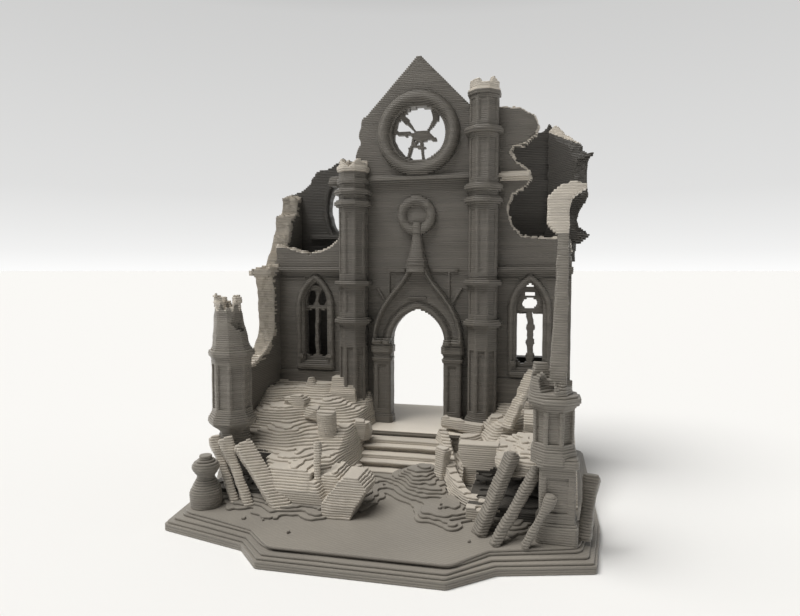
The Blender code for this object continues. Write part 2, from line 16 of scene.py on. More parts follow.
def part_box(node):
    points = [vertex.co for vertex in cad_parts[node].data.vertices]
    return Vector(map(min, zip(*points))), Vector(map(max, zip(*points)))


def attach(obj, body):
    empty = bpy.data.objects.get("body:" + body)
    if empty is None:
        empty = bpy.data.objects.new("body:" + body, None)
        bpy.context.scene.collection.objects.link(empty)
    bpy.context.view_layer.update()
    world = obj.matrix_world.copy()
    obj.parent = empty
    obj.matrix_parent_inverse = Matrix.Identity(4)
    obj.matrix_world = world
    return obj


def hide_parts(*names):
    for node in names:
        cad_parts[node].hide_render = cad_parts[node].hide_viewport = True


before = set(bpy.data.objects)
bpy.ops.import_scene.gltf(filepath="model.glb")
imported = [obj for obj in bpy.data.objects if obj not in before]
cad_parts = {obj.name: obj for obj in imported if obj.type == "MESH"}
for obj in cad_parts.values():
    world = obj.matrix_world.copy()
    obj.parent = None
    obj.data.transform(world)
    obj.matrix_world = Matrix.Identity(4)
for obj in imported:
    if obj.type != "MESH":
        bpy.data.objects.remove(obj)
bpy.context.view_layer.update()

MM = 0.001
LAYER = 0.3                    # layer height of the print
GRID = 0.16                    # sampling step inside a layer
FINE = 0.13                    # the same for small pieces, and for the smallest
FINEST = 0.12
BEAD_INSET = 0.055             # how far the bead is drawn in where two layers meet
BEAD_ROUND = 0.085             # height of the rounded part of a bead
HAIR = 0.003                   # difference in height between pieces that share a layer
WOBBLE = 0.012                 # how far a layer's outline may stand off from the true one
SMALLEST_AREA = 0.012          # in square millimetres: loops below it are left out
SAME_WITHIN = 0.03             # how far points may be apart where a wall runs straight up
SHARP_ANGLE = 50.0             # degrees between faces from which an edge looks sharp

# Levels and faces of the building, as in the CAD model
BASE_HALF_WIDTH = 28.4
BASE_FRONT_Y = -27.6
BASE_BACK_Y = 27.6
FLANK_Y = -21.0
BAND_TOP_Z = 1.2
GROUND_Z = 2.1
PLATFORM_Z = 7.5
FRONT_Y = 12.9
WALL_BACK_Y = 15.1
COLUMN_X = 11.2
COLUMN_Y = 11.6
COLUMN_RADIUS = 2.35
ROSE_Z = 57.0
ROSE_RADIUS = 4.7
ROSE_RING_RADIUS = 7.05
DOOR_HALF_WIDTH = 4.75
DOOR_SPRING_Z = 21.5
DOOR_APEX_Z = 27.4
WINDOW_X = 18.8
WINDOW_HALF_WIDTH = 2.1
WINDOW_SILL_Z = 17.7
WINDOW_SPRING_Z = 27.9
WINDOW_APEX_Z = 31.8
STRING_Z = 34.0
TOP_STRING_Z = 49.5
MEDALLION_Z = 43.2
MEDALLION_RADIUS = 3.3
LEFT_PILLAR = (-24.35, -7.4)
RIGHT_PILLAR = (22.7, -15.9)

# Warm grey of the plastic, and how much lighter or darker each part is painted for the light and shade it
# stands in: lit copies for the front pieces, the rubble, the chapel floor's top and the broken edges, a
# shaded copy for the inner walls and hollows
DARK = (0.150, 0.139, 0.124)
LIGHT = (0.195, 0.181, 0.160)
PALE = (0.285, 0.264, 0.230)
PAINTED_LIGHT_TONES = {"wall": 0.98, "inner": 0.45, "rubble": 2.85, "floor": 3.4, "front": 1.45, "painted_light": 3.2}
PASS_WIDTH = 0.42              # width of one nozzle pass on a flat top
WAVES_PER_SCALE = 3.18         # bands per unit length that Blender's wave texture has at scale 1
# Names of the pieces that get the copy with painted light (rubble, front) and with painted shade (inner
# walls)
LIT_RUBBLE_WORDS = ("heap", "fallen", "rounded", "board", "step")
LIT_FRONT_WORDS = ("base", "ground", "floor", "pillar", "block", "shaft", "shard", "stump", "post", "footing",
               "plank")
SHADED_INNER_WORDS = ("rear", "right_corner", "right_side")

# Studio and camera, in metres and degrees. The sky's stops are a height from 0 to 1 and a grey.
PAPER_HALF_SIZE = 40.0
PAPER_GREY = (0.80, 0.80, 0.795, 1.0)
SKY = ((0.0, 0.985), (0.03, 0.90), (0.06, 0.85), (0.12, 0.77), (0.38, 0.655), (0.55, 0.3), (1.0, 0.12))
FRONT_SKY = 0.28               # the sky's strength in front of the ruin, where it is 1 behind it
OVERHEAD_POWER = 3.4
OVERHEAD_SPREAD = 45.0
OVERHEAD_FROM = (-0.35, -0.22, 1.0)
OVERHEAD_COLOUR = (1.0, 0.985, 0.96)
VIEW_GAMMA = 0.88              # a little more contrast, as the photograph has
CAMERA_PLACE = (0.0204, -0.0884, 0.034)
CAMERA_DOWN = 3.6239           # degrees below the horizon
CAMERA_TURN = 13.132           # degrees to the left of straight ahead
LENS = 27.0                    # focal length in millimetres on a 36 mm wide sensor


# ---------------------------------------------------------------- noise


def lattice(ix, iy, iz, seed):
    """A repeatable value from 0 to 1 for each whole-numbered point."""
    mixed = (ix * 374761393 + iy * 668265263 + iz * 1274126177 + seed * 974634777) & 0xFFFFFFFF
    mixed = ((mixed ^ (mixed >> 13)) * 1274126177) & 0xFFFFFFFF
    return ((mixed ^ (mixed >> 16)) & 0xFFFF) / 65535.0


def noise(x, y, z, size, seed=0):
    """Smooth noise from -1 to 1 whose features have the given size in millimetres."""
    cells = [np.asarray(part, float) / size for part in (x, y, z)]
    whole = [np.floor(part) for part in cells]
    ease = [(c - w) ** 2 * (3 - 2 * (c - w)) for c, w in zip(cells, whole)]
    ix, iy, iz = (w.astype(np.int64) for w in whole)
    total = 0.0
    for dx in (0, 1):
        wx = ease[0] if dx else 1 - ease[0]
        for dy in (0, 1):
            wy = ease[1] if dy else 1 - ease[1]
            for dz in (0, 1):
                wz = ease[2] if dz else 1 - ease[2]
                total = total + wx * wy * wz * lattice(ix + dx, iy + dy, iz + dz, seed)
    return total * 2 - 1


def rough(x, y, z, *layers):
    """Layers of noise on each other, each with its amount, its size and its seed."""
    return sum(amount * noise(x, y, z, size, seed) for amount, size, seed in layers)


def smooth_step(value):
    """Ease from 0 to 1."""
    value = np.clip(value, 0.0, 1.0)
    return value * value * (3 - 2 * value)


def half_round(value):
    """Height of a half circle of radius 1 over a line, and 0 beyond its ends."""
    return np.sqrt(np.maximum(1 - value ** 2, 0.0))


# ---------------------------------------------------------------- distance functions
# Each one gives the distance in millimetres to a solid's surface, negative inside it.


def join(*solids):
    """All the solids together."""
    result = solids[0]
    for solid in solids[1:]:
        result = np.minimum(result, solid)
    return result


def blend(one, other, width):
    """Two solids together, with a fillet of the given width between them."""
    mix = np.clip(0.5 + 0.5 * (other - one) / width, 0.0, 1.0)
    return other * (1 - mix) + one * mix - width * mix * (1 - mix)


def common(*solids):
    """Only what the solids share."""
    result = solids[0]
    for solid in solids[1:]:
        result = np.maximum(result, solid)
    return result


def without(solid, *cutters):
    """A solid with the cutters' volume taken out."""
    return common(solid, *[-cutter for cutter in cutters])


def block(x, y, z, low, high, radius=0.0):
    """A box between two corners, with its edges rounded."""
    parts = []
    for value, a, b in zip((x, y, z), low, high):
        parts.append(np.abs(value - (a + b) / 2) - (b - a) / 2 + radius)
    beyond = [np.maximum(part, 0.0) for part in parts]
    outside = np.sqrt(beyond[0] ** 2 + beyond[1] ** 2 + beyond[2] ** 2)
    return outside + np.minimum(common(*parts), 0.0) - radius


def outline(u, v, points):
    """A closed outline in two dimensions."""
    u, v = np.broadcast_arrays(np.asarray(u, float), np.asarray(v, float))
    nearest = np.full(u.shape, 1e9)
    inside = np.zeros(u.shape, bool)
    for (ax, ay), (bx, by) in zip(points, points[1:] + points[:1]):
        ex, ey = bx - ax, by - ay
        along = np.clip(((u - ax) * ex + (v - ay) * ey) / (ex * ex + ey * ey), 0.0, 1.0)
        nearest = np.minimum(nearest, (u - ax - ex * along) ** 2 + (v - ay - ey * along) ** 2)
        if ay != by:
            inside ^= ((ay > v) != (by > v)) & (u < ex * (v - ay) / ey + ax)
    return np.where(inside, -1.0, 1.0) * np.sqrt(nearest)


def slab(value, low, high):
    """Everything between two parallel planes."""
    return np.abs(value - (low + high) / 2) - (high - low) / 2


def arch(u, v, centre, half, foot, spring, apex):
    """A gothic opening: straight jambs and two equal arcs that meet in a point."""
    rise = apex - spring
    radius = (rise ** 2 + half ** 2) / (2 * half)
    side = np.abs(u - centre)
    curved = np.hypot(side + radius - half, np.maximum(v - spring, 0.0)) - radius
    return common(curved, foot - v)


def octagon(x, y, cx, cy):
    """Distance from an upright axis measured across the flats of an octagon."""
    side, deep = np.abs(x - cx), np.abs(y - cy)
    return common(side, deep, (side + deep) / math.sqrt(2))


def circle(x, y, cx, cy):
    """Distance from an upright axis."""
    return np.hypot(x - cx, y - cy)


def facets(x, y, cx, cy):
    """Angle about an axis, and the distances along and out from the middle of the nearest of eight faces."""
    angle = np.arctan2(y - cy, x - cx)
    facet = np.round(angle / (math.pi / 4)) * (math.pi / 4)
    reach = np.hypot(x - cx, y - cy)
    return angle, np.abs(reach * np.sin(angle - facet)), reach * np.cos(angle - facet)


def profile(z, points):
    """Radius at a height, from pairs of height and radius that rise."""
    heights, radii = zip(*points)
    return float(np.interp(z, heights, radii))


def beam(x, y, z, foot, head, width, thick, radius=0.25, spin=0.0, flare=0.0):
    """A rounded bar from its foot to its head, spun about its own length, wider at its head by flare."""
    start, end = Vector(foot), Vector(head)
    axis = (end - start).normalized()
    side = axis.cross(Vector((0, 0, 1))).normalized()
    deep = side.cross(axis)
    angle = math.radians(spin)
    across = side * math.cos(angle) + deep * math.sin(angle)
    through = deep * math.cos(angle) - side * math.sin(angle)
    length = (end - start).length
    place = (x - start.x, y - start.y, z - start.z)
    u, v, w = (sum(p * c for p, c in zip(place, way)) for way in (across, through, axis))
    grow = 1.0 + flare * smooth_step((w / length - 0.6) / 0.4)
    return block(u / grow, v / grow, w, (-width / 2, -thick / 2, 0), (width / 2, thick / 2, length), radius)


def rock(x, y, z, centre, size, seed, faces=11):
    """A chunk of broken masonry: a convex block with random faces."""
    draw = np.random.RandomState(seed)
    place = [(part - middle) / half for part, middle, half in zip((x, y, z), centre, size)]
    result = common(*[np.abs(part) - 0.95 for part in place])
    for _ in range(faces):
        way = draw.normal(size=3)
        way /= np.linalg.norm(way)
        reach = draw.uniform(0.72, 1.0)
        result = np.maximum(result, sum(p * w for p, w in zip(place, way)) - reach)
    return result * min(size)


# ---------------------------------------------------------------- slicing

# The two grid edges that the contour joins in each kind of cell, with the solid on its left.
# Cell edges: 0 low y, 1 high x, 2 high y, 3 low x.
CROSSINGS = {
    1: [(0, 3)], 2: [(1, 0)], 3: [(1, 3)], 4: [(2, 1)], 5: [(0, 3), (2, 1)], 6: [(2, 0)], 7: [(2, 3)],
    8: [(3, 2)], 9: [(0, 2)], 10: [(1, 0), (3, 2)], 11: [(1, 2)], 12: [(3, 1)], 13: [(0, 1)], 14: [(3, 0)],
}


def contours(field, xs, ys):
    """Closed loops where a field crosses zero, anticlockwise round the solid and clockwise round holes."""
    inside = field < 0
    if not inside.any():
        return []
    nx, ny = field.shape
    kind = (inside[:-1, :-1] * 1 + inside[1:, :-1] * 2 + inside[1:, 1:] * 4 + inside[:-1, 1:] * 8)
    upright = nx * ny
    follow = {}
    for code, pairs in CROSSINGS.items():
        ci, cj = np.nonzero(kind == code)
        if not len(ci):
            continue
        edges = (ci * ny + cj, upright + (ci + 1) * ny + cj, ci * ny + cj + 1, upright + ci * ny + cj)
        for start, end in pairs:
            follow.update(zip(edges[start].tolist(), edges[end].tolist()))
    loops = []
    while follow:
        first, at = follow.popitem()
        chain = [first]
        while at != first:
            chain.append(at)
            at = follow.pop(at)
        ids = np.array(chain)
        is_upright = ids >= upright
        flat = np.where(is_upright, ids - upright, ids)
        i, j = flat // ny, flat % ny
        i2, j2 = np.where(is_upright, i, i + 1), np.where(is_upright, j + 1, j)
        a, b = field[i, j], field[i2, j2]
        t = a / (a - b)
        loops.append(np.stack([xs[i] + (xs[i2] - xs[i]) * t, ys[j] + (ys[j2] - ys[j]) * t], axis=1))
    return loops


def area(loop):
    """Signed area of a loop, positive when anticlockwise."""
    x, y = loop[:, 0], loop[:, 1]
    return 0.5 * float(np.sum(x * np.roll(y, -1) - np.roll(x, -1) * y))


def simplified(loop, tolerance=0.006, longest=2.6):
    """The loop without the points that lie on a straight run."""
    for _ in range(14):
        if len(loop) < 6:
            break
        before, after = np.roll(loop, 1, axis=0), np.roll(loop, -1, axis=0)
        chord = after - before
        length = np.hypot(chord[:, 0], chord[:, 1]) + 1e-9
        away = loop - before
        off = np.abs(chord[:, 0] * away[:, 1] - chord[:, 1] * away[:, 0]) / length
        drop = (off < tolerance) & (length < longest)
        drop[1::2] = False
        drop[-1] = False
        loop = np.roll(loop[~drop], -1, axis=0)
    return loop


def drawn_in(loop, inset):
    """The loop moved towards the solid by the inset."""
    ahead = np.roll(loop, -1, axis=0) - loop
    ahead /= np.maximum(np.hypot(ahead[:, 0], ahead[:, 1]), 1e-9)[:, None]
    left = np.stack([-ahead[:, 1], ahead[:, 0]], axis=1)
    both = left + np.roll(left, 1, axis=0)
    square = np.maximum(np.sum(both * both, axis=1), 0.8)[:, None]
    return loop + inset * 2 * both / square


def holds(loop, point):
    """True if a point is inside a loop."""
    x, y = loop[:, 0], loop[:, 1]
    x2, y2 = np.roll(x, -1), np.roll(y, -1)
    spans = (y > point[1]) != (y2 > point[1])
    with np.errstate(divide="ignore", invalid="ignore"):
        reach = x + (point[1] - y) * (x2 - x) / (y2 - y)
    return bool(np.sum(spans & (point[0] < reach)) % 2)


def islands(loops):
    """Groups of one outer loop and the holes in it."""
    outers = [loop for loop in loops if area(loop) > SMALLEST_AREA]
    groups = [[outer] for outer in outers]
    for loop in loops:
        if area(loop) > -SMALLEST_AREA:
            continue
        around = [group for group in groups if holds(group[0], loop[0])]
        if around:
            min(around, key=lambda group: area(group[0])).append(loop)
    return groups


def same_shape(one, other):
    """True if two islands match point by point, so that a wall runs straight up through both layers."""
    if len(one) != len(other):
        return False
    for a, b in zip(one, other):
        if len(a) != len(b) or np.abs(a - b).max() > SAME_WITHIN:
            return False
    return True


class Surface:
    """Collects the vertices and faces of one mesh."""

    def __init__(self):
        self.verts = []
        self.count = 0
        self.quads = []
        self.tris = []

    def ring(self, loop, z):
        """Add a loop of vertices at a height, and give the index of each one."""
        self.verts.append(np.column_stack([loop, np.full(len(loop), z)]))
        self.count += len(loop)
        return np.arange(self.count - len(loop), self.count)

    def wall(self, lower, upper):
        """Join two rings of the same length."""
        self.quads.append(np.stack([lower, np.roll(lower, -1), np.roll(upper, -1), upper], axis=1))

    def cap(self, rings, loops, upwards):
        """Close an island with flat triangles."""
        ids = np.concatenate(rings)
        flat = [[Vector((px, py, 0.0)) for px, py in loop] for loop in loops]
        faces = tessellate_polygon(flat)
        if not faces:
            return
        points = np.concatenate(loops)
        corners = np.array(faces)
        p, q, r = (points[corners[:, k]] for k in range(3))
        turn = (q[:, 0] - p[:, 0]) * (r[:, 1] - p[:, 1]) - (q[:, 1] - p[:, 1]) * (r[:, 0] - p[:, 0])
        wrong = (turn < 0) == upwards
        corners[wrong] = corners[wrong][:, ::-1]
        self.tris.append(ids[corners])

    def mesh(self, name, lift):
        """The collected geometry, lifted a little, as a Blender mesh in metres."""
        mesh = bpy.data.meshes.new(name)
        points = (np.concatenate(self.verts) + (0.0, 0.0, lift)) * MM
        quads = np.concatenate(self.quads)
        tris = np.concatenate(self.tris) if self.tris else np.zeros((0, 3), int)
        mesh.vertices.add(len(points))
        mesh.vertices.foreach_set("co", points.astype(np.float32).ravel())
        corners = np.concatenate([quads.ravel(), tris.ravel()]).astype(np.int32)
        mesh.loops.add(len(corners))
        mesh.loops.foreach_set("vertex_index", corners)
        starts = np.concatenate([np.arange(len(quads)) * 4, len(quads) * 4 + np.arange(len(tris)) * 3])
        mesh.polygons.add(len(starts))
        mesh.polygons.foreach_set("loop_start", starts.astype(np.int32))
        mesh.update(calc_edges=True)
        smooth = np.concatenate([np.ones(len(quads), bool), np.zeros(len(tris), bool)])
        mesh.polygons.foreach_set("use_smooth", smooth)
        mesh.set_sharp_from_angle(angle=math.radians(SHARP_ANGLE))
        return mesh


def sliced(name, low, high, solid, grid=GRID):
    """Cut a solid into printed layers inside a box."""
    xs = np.arange(low[0] - grid, high[0] + 2 * grid, grid)
    ys = np.arange(low[1] - grid, high[1] + 2 * grid, grid)
    x, y = xs[:, None], ys[None, :]
    surface = Surface()
    below = []
    first = max(0, math.floor(low[2] / LAYER + 0.01))
    last = math.ceil(high[2] / LAYER - 0.01)
    for number in range(first, last + 1):
        floor = number * LAYER
        groups = []
        if number < last:
            field = np.array(np.broadcast_to(solid(x, y, floor + LAYER / 2), (len(xs), len(ys))), float)
            field += WOBBLE * math.sin(number * 12.9898) + 1e-7
            for edge in (field[0], field[-1], field[:, 0], field[:, -1]):
                edge[:] = np.maximum(edge, 0.05)
            groups = islands([simplified(loop) for loop in contours(field, xs, ys)])
        current = []
        for group in groups:
            inner = [drawn_in(loop, BEAD_INSET) for loop in group]
            open_below = (item for item in below if not item["joined"])
            match = next((item for item in open_below if same_shape(item["loops"], group)), None)
            if match:
                match["joined"] = True
                bottom = match["top"]
            else:
                bottom = [surface.ring(loop, floor) for loop in inner]
                surface.cap(bottom, inner, False)
            lower = [surface.ring(loop, floor + BEAD_ROUND) for loop in group]
            upper = [surface.ring(loop, floor + LAYER - BEAD_ROUND) for loop in group]
            top = [surface.ring(loop, floor + LAYER) for loop in inner]
            for stack in zip(bottom, lower, upper, top):
                for one, other in zip(stack, stack[1:]):
                    surface.wall(one, other)
            current.append({"loops": group, "inner": inner, "top": top, "joined": False})
        for item in below:
            if not item["joined"]:
                surface.cap(item["top"], item["inner"], True)
        below = current
    # A hair's difference in height keeps the flat tops of two pieces from lying in one plane.
    return surface.mesh(name, HAIR * (len(bpy.data.meshes) % 9))


def printed(name, nodes, solid, margin=0.7, box=None, grid=GRID, painted_light=None, painted_copy="painted_light"):
    """Build a piece of the print that stands for CAD nodes, inside their box plus a margin.

    Where the mask is positive a face gets another copy of the plastic: by default the one with the painted
    highlight of a broken edge, or the copy with painted light or painted shade that the last argument names.
    """
    if box:
        low, high = box
    else:
        corners = [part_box(node) for node in nodes]
        low = [min(c[0][k] for c in corners) / MM - margin for k in range(3)]
        high = [max(c[1][k] for c in corners) / MM + margin for k in range(3)]
    obj = bpy.data.objects.new(name, sliced(name, low, high, solid, grid))
    bpy.context.scene.collection.objects.link(obj)
    obj.data.materials.append(plastic_of(name))
    # Faces where the mask is positive get the copy with painted light or painted shade
    if painted_light:
        obj.data.materials.append(PLASTICS[painted_copy])
        centres = np.array([tuple(face.center) for face in obj.data.polygons]) / MM
        x, y, z = centres.T
        for face, amount in zip(obj.data.polygons, painted_light(x, y, z)):
            face.material_index = int(amount > 0)
    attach(obj, "root")
    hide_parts(*nodes)


# ---------------------------------------------------------------- material


def feed(tree, node, inputs):
    """Set a node's inputs to values, or link them to the outputs of other nodes."""
    for socket, value in inputs.items():
        if isinstance(value, bpy.types.NodeSocket):
            tree.links.new(value, node.inputs[socket])
        else:
            node.inputs[socket].default_value = value
    return node


def add_node(tree, kind, inputs):
    """A new node with its inputs filled in."""
    return feed(tree, tree.nodes.new(kind), inputs)


def map_range(tree, value, low, high, to_low, to_high):
    """Bring a value from one range to another."""
    inputs = {"Value": value, "From Min": low, "From Max": high, "To Min": to_low, "To Max": to_high}
    return add_node(tree, "ShaderNodeMapRange", inputs).outputs["Result"]


def texture(tree, place, size_mm, detail, stretch=(1.0, 1.0, 1.0)):
    """Noise of a given size in millimetres, stretched along some axes."""
    stretched = add_node(tree, "ShaderNodeMapping", {"Vector": place, "Scale": stretch}).outputs["Vector"]
    inputs = {"Vector": stretched, "Scale": 1 / (size_mm * MM), "Detail": detail}
    return add_node(tree, "ShaderNodeTexNoise", inputs).outputs["Fac"]


def mix_colours(tree, factor, one, other):
    """Mix two colours, each given as a value or as another node's output."""
    mix = tree.nodes.new("ShaderNodeMix")
    mix.data_type = "RGBA"
    return feed(tree, mix, {0: factor, 6: one, 7: other}).outputs[2]


def print_relief(tree, place):
    """The nozzle's parallel passes on faces that look up, and the beads' small waviness elsewhere."""
    turned = {"Vector": place, "Rotation": (0.0, 0.0, math.radians(45))}
    passes = tree.nodes.new("ShaderNodeTexWave")
    passes.bands_direction = "X"
    feed(tree, passes, {
        "Vector": add_node(tree, "ShaderNodeMapping", turned).outputs["Vector"],
        "Scale": 1 / (PASS_WIDTH * MM) / WAVES_PER_SCALE,
        "Distortion": 0.6,
        "Detail": 1.0,
    })
    normal = tree.nodes.new("ShaderNodeNewGeometry").outputs["True Normal"]
    upward = tree.nodes.new("ShaderNodeMath")
    upward.operation = "GREATER_THAN"
    feed(tree, upward, {0: add_node(tree, "ShaderNodeSeparateXYZ", {"Vector": normal}).outputs["Z"], 1: 0.95})
    relief = tree.nodes.new("ShaderNodeMix")
    relief.data_type = "FLOAT"
    waviness = texture(tree, place, 0.5, 3.0, (1.0, 1.0, 2.2))
    feed(tree, relief, {0: upward.outputs[0], 2: waviness, 3: passes.outputs["Fac"]})
    inputs = {"Height": relief.outputs[0], "Strength": 0.35, "Distance": 0.06 * MM}
    return add_node(tree, "ShaderNodeBump", inputs).outputs["Normal"]


def make_plastic(name, tone):
    """Warm grey printed plastic: matt, with a faint tone per layer and pale flecks."""
    mat = bpy.data.materials.new(name)
    mat.use_nodes = True
    tree = mat.node_tree
    # The tone scales the greys, so that this copy is painted lighter or darker for the light or shade it
    # stands in
    dark, light, pale = (tuple(channel * tone for channel in grey) + (1.0,) for grey in (DARK, LIGHT, PALE))
    place = tree.nodes.new("ShaderNodeTexCoord").outputs["Object"]
    speck = texture(tree, place, 0.25, 2.0)
    layer_tone = texture(tree, place, 1.1, 2.0, (0.06, 0.06, 0.9 / LAYER))
    base = mix_colours(tree, texture(tree, place, 9.0, 3.0), dark, light)
    layered = mix_colours(tree, map_range(tree, layer_tone, 0.3, 0.7, 0.0, 0.35), base, pale)
    feed(tree, tree.nodes["Principled BSDF"], {
        "Base Color": mix_colours(tree, map_range(tree, speck, 0.62, 0.8, 0.0, 0.3), layered, pale),
        "Metallic": 0.0,
        "Roughness": map_range(tree, speck, 0.3, 0.7, 0.34, 0.5),
        "IOR": 1.46,
        "Normal": print_relief(tree, place),
        "Sheen Weight": 0.08,
        "Sheen Roughness": 0.6,
    })
    return mat


# One copy of the plastic per part, each with its painted light or painted shade
PLASTICS = {part: make_plastic(f"{part}_plastic", tone) for part, tone in PAINTED_LIGHT_TONES.items()}


def plastic_of(name):
    """The copy of the plastic a piece gets: with painted light at the front and in the rubble, with painted
    shade in the inner walls, and the plain one in the other walls.
    """
    for part, words in (("rubble", LIT_RUBBLE_WORDS), ("front", LIT_FRONT_WORDS), ("inner", SHADED_INNER_WORDS)):
        if any(word in name for word in words):
            return PLASTICS[part]
    return PLASTICS["wall"]


# ---------------------------------------------------------------- plinth and stairs


def plinth_outline(inset):
    """Plan of the plinth: a rectangle with a stepped, slanted front."""
    side = BASE_HALF_WIDTH - inset
    front = BASE_FRONT_Y + inset
    back = BASE_BACK_Y - inset
    corner = 4.0
    return [
        (-side + 1.3, FLANK_Y + inset), (-14.4 + inset * 0.4, -24.0 + inset),
        (-10.9 + inset * 0.5, front), (11.0 - inset * 0.2, front + 0.3),
        (16.2 - inset * 0.6, -23.1 + inset), (side - 1.3, FLANK_Y + 0.8 + inset), (side, -9.0),
        (side, back - corner), (side - corner, back), (-side + corner, back), (-side, back - corner),
        (-side, -9.0),
    ]


def base_solid(x, y, z):
    """The square-edged lowest band, drawn in at its top layer."""
    corner = 0.5
    ledge = 0.3 if z > BAND_TOP_Z - LAYER else 0.0
    return outline(x, y, plinth_outline(corner)) - corner + ledge


def spill_height(x, y):
    """Level of the forecourt, with thin spills of rubble round the heaps and the foot of the stairs."""
    left = np.hypot((x + 12.5) / 1.35, (y + 9.0) / 1.05) - 9.6
    right = np.hypot(x - 17.5, (y + 7.5) / 1.15) - 7.4
    rib_foot = np.hypot((x - 8.5) / 1.2, (y + 11.5) / 1.5) - 3.4
    stair_foot = np.hypot(x / 1.35, y - 1.0) - 6.6
    near = join(left, right, rib_foot, stair_foot)
    waves = rough(x, y, 0, (1.5, 3.4, 3), (0.8, 1.5, 4), (0.35, 0.7, 5))
    level = GROUND_Z + 0.02 + 1.15 * smooth_step((1.2 - near + waves) / 5.0)
    mound = smooth_step((6.6 - np.hypot(x - 4.6, (y + 4.0) / 1.1)) / 5.6)
    level = level + mound * (1.9 + 0.3 * noise(x, y, 0, 1.6, 9))
    islets = rough(x, y, 0, (1.0, 2.2, 6), (0.5, 0.9, 7))
    return np.where(islets > 1.06, np.maximum(level, GROUND_Z + 0.2), level)


def ground_solid(x, y, z):
    """The forecourt on its terraces, whose corners get rounder towards the top."""
    number = int((z - BAND_TOP_Z) / LAYER)
    insets = (0.75, 1.35, 1.5)
    corners = (0.9, 1.5, 2.2)
    if number < len(insets):
        inset, corner = insets[number], corners[number]
        wander = 0.12 * noise(x, y, z, 4.0, 8)
        if number == 1:
            ledge = smooth_step((x + 12) / 3) * smooth_step((13 - x) / 3) * smooth_step((-y - 22) / 2)
            wander = 0.45 * ledge - wander
        return outline(x, y, plinth_outline(inset + corner)) - corner + wander
    spill_edge = outline(x, y, plinth_outline(3.4)) - 1.2
    return common((z - spill_height(x, y)) * 1.2, spill_edge)


def make_plinth():
    """The lowest band, the terraced forecourt and the chapel floor, whose top is painted lighter for the
    light that falls on it from behind.
    """
    printed("printed_base", ["base_slab"], base_solid,
            box=((-29, -28.2, 0), (29, 28.2, BAND_TOP_Z)), grid=0.25)
    printed("printed_ground", ["ground_slab"], ground_solid,
            box=((-29, -28, BAND_TOP_Z), (29, 28, GROUND_Z + 11 * LAYER)), grid=0.2)

    def floor_solid(x, y, z):
        lip = 0.0 if z > PLATFORM_Z - 2 * LAYER else 0.25
        return common(block(x, y, z, (-25.9, 6.25 + lip, 0), (25.9, 26.1, 20), 0.5), z - PLATFORM_Z)

    # The floor's top faces get a copy of the plastic painted lighter for the light from behind
    def floor_painted_light(x, y, z):
        return z - PLATFORM_Z + 0.5 * BEAD_ROUND

    printed("printed_chapel_floor", ["chapel_floor"], floor_solid,
            box=((-27, 5.5, GROUND_Z), (27, 27, PLATFORM_Z)), grid=0.2, painted_light=floor_painted_light, painted_copy="floor")


def make_stairs():
    """Treads with a nosing that stands proud of the riser under it."""
    for number in range(1, 7):
        node = f"step_{number}"
        low, high = (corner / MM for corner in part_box(node))
        top = round(high.z / LAYER) * LAYER

        def step_solid(x, y, z, low=low, high=high, top=top):
            nosing = 0.5 if z > top - 1.5 * LAYER else 0.0
            worn = 0.10 * noise(x, 0, z, 2.0, 11)
            body = block(x, y, 0, (low.x, low.y - nosing + 0.3 + worn, -1), (high.x, high.y + 1.2, 1), 0.12)
            return common(body, z - top)

        printed(f"printed_{node}", [node], step_solid,
                box=((low.x - 0.5, low.y - 1, GROUND_Z), (high.x + 0.5, high.y + 1.5, top)))


# ---------------------------------------------------------------- front wall


def centre_outline():
    """Gable and wall between the columns, with the gable's left corner broken away."""
    half = COLUMN_X
    return [(-half, PLATFORM_Z), (half, PLATFORM_Z), (half, 58.7), (0.25, 70.0), (-0.25, 70.0),
            (-half + 0.8, 59.2), (-half + 0.5, 57.0), (-half + 1.1, 55.6), (-half + 0.2, 53.8), (-half, 53.4)]


def centre_solid(x, y, z):
    """The gabled wall with the door and the rose window cut through it."""
    broken = smooth_step((z - 51) / 2) * smooth_step((-8.5 - x) / 1.0) * 0.35 * noise(x, 0, z, 1.2, 21)
    wall = common(outline(x, z, centre_outline()) + broken, slab(y, FRONT_Y, WALL_BACK_Y))
    door = arch(x, z, 0, DOOR_HALF_WIDTH, -1, DOOR_SPRING_Z, DOOR_APEX_Z)
    rose = np.hypot(x, z - ROSE_Z) - ROSE_RADIUS
    splay = np.hypot(x, z - ROSE_Z) - ROSE_RADIUS - np.maximum(FRONT_Y + 0.6 - y, 0)
    wall = without(wall, door, common(rose, splay))
    # Blind tracery behind the hood: two uprights under a rail, and short braces beside them.
    relief = join(
        common(join(slab(x, -5.35, -4.95), slab(x, 5.15, 5.55)), slab(z, 27, 34.3)),
        common(join(slab(x, -5.4, -2.2), slab(x, 2.2, 6.9)), slab(z, 33.6, 34.1)),
        common(join(slab(x + 0.62 * z, 11.6, 12.1), slab(x - 0.62 * z, -11.9, -11.4)), slab(z, 27.9, 31.0)),
        common(slab(np.abs(x), 3.6, 6.2), slab(z, 28.0, 28.35)),
    )
    return join(wall, common(relief, slab(y, FRONT_Y - 0.28, FRONT_Y + 0.5)))


def ring_solid(x, y, z):
    """The rose window's moulding: a roll between two fillets."""
    out = np.hypot(x, z - ROSE_Z)
    middle = (ROSE_RING_RADIUS + ROSE_RADIUS) / 2 + 0.15
    half = (ROSE_RING_RADIUS - ROSE_RADIUS) / 2 - 0.15
    bulge = half_round((out - middle) / half)
    face = FRONT_Y - 0.45 - 1.0 * bulge
    flat = common(out - ROSE_RING_RADIUS, ROSE_RADIUS - 0.1 - out)
    return common(flat, (face - y) * 0.8, y - FRONT_Y - 0.3)


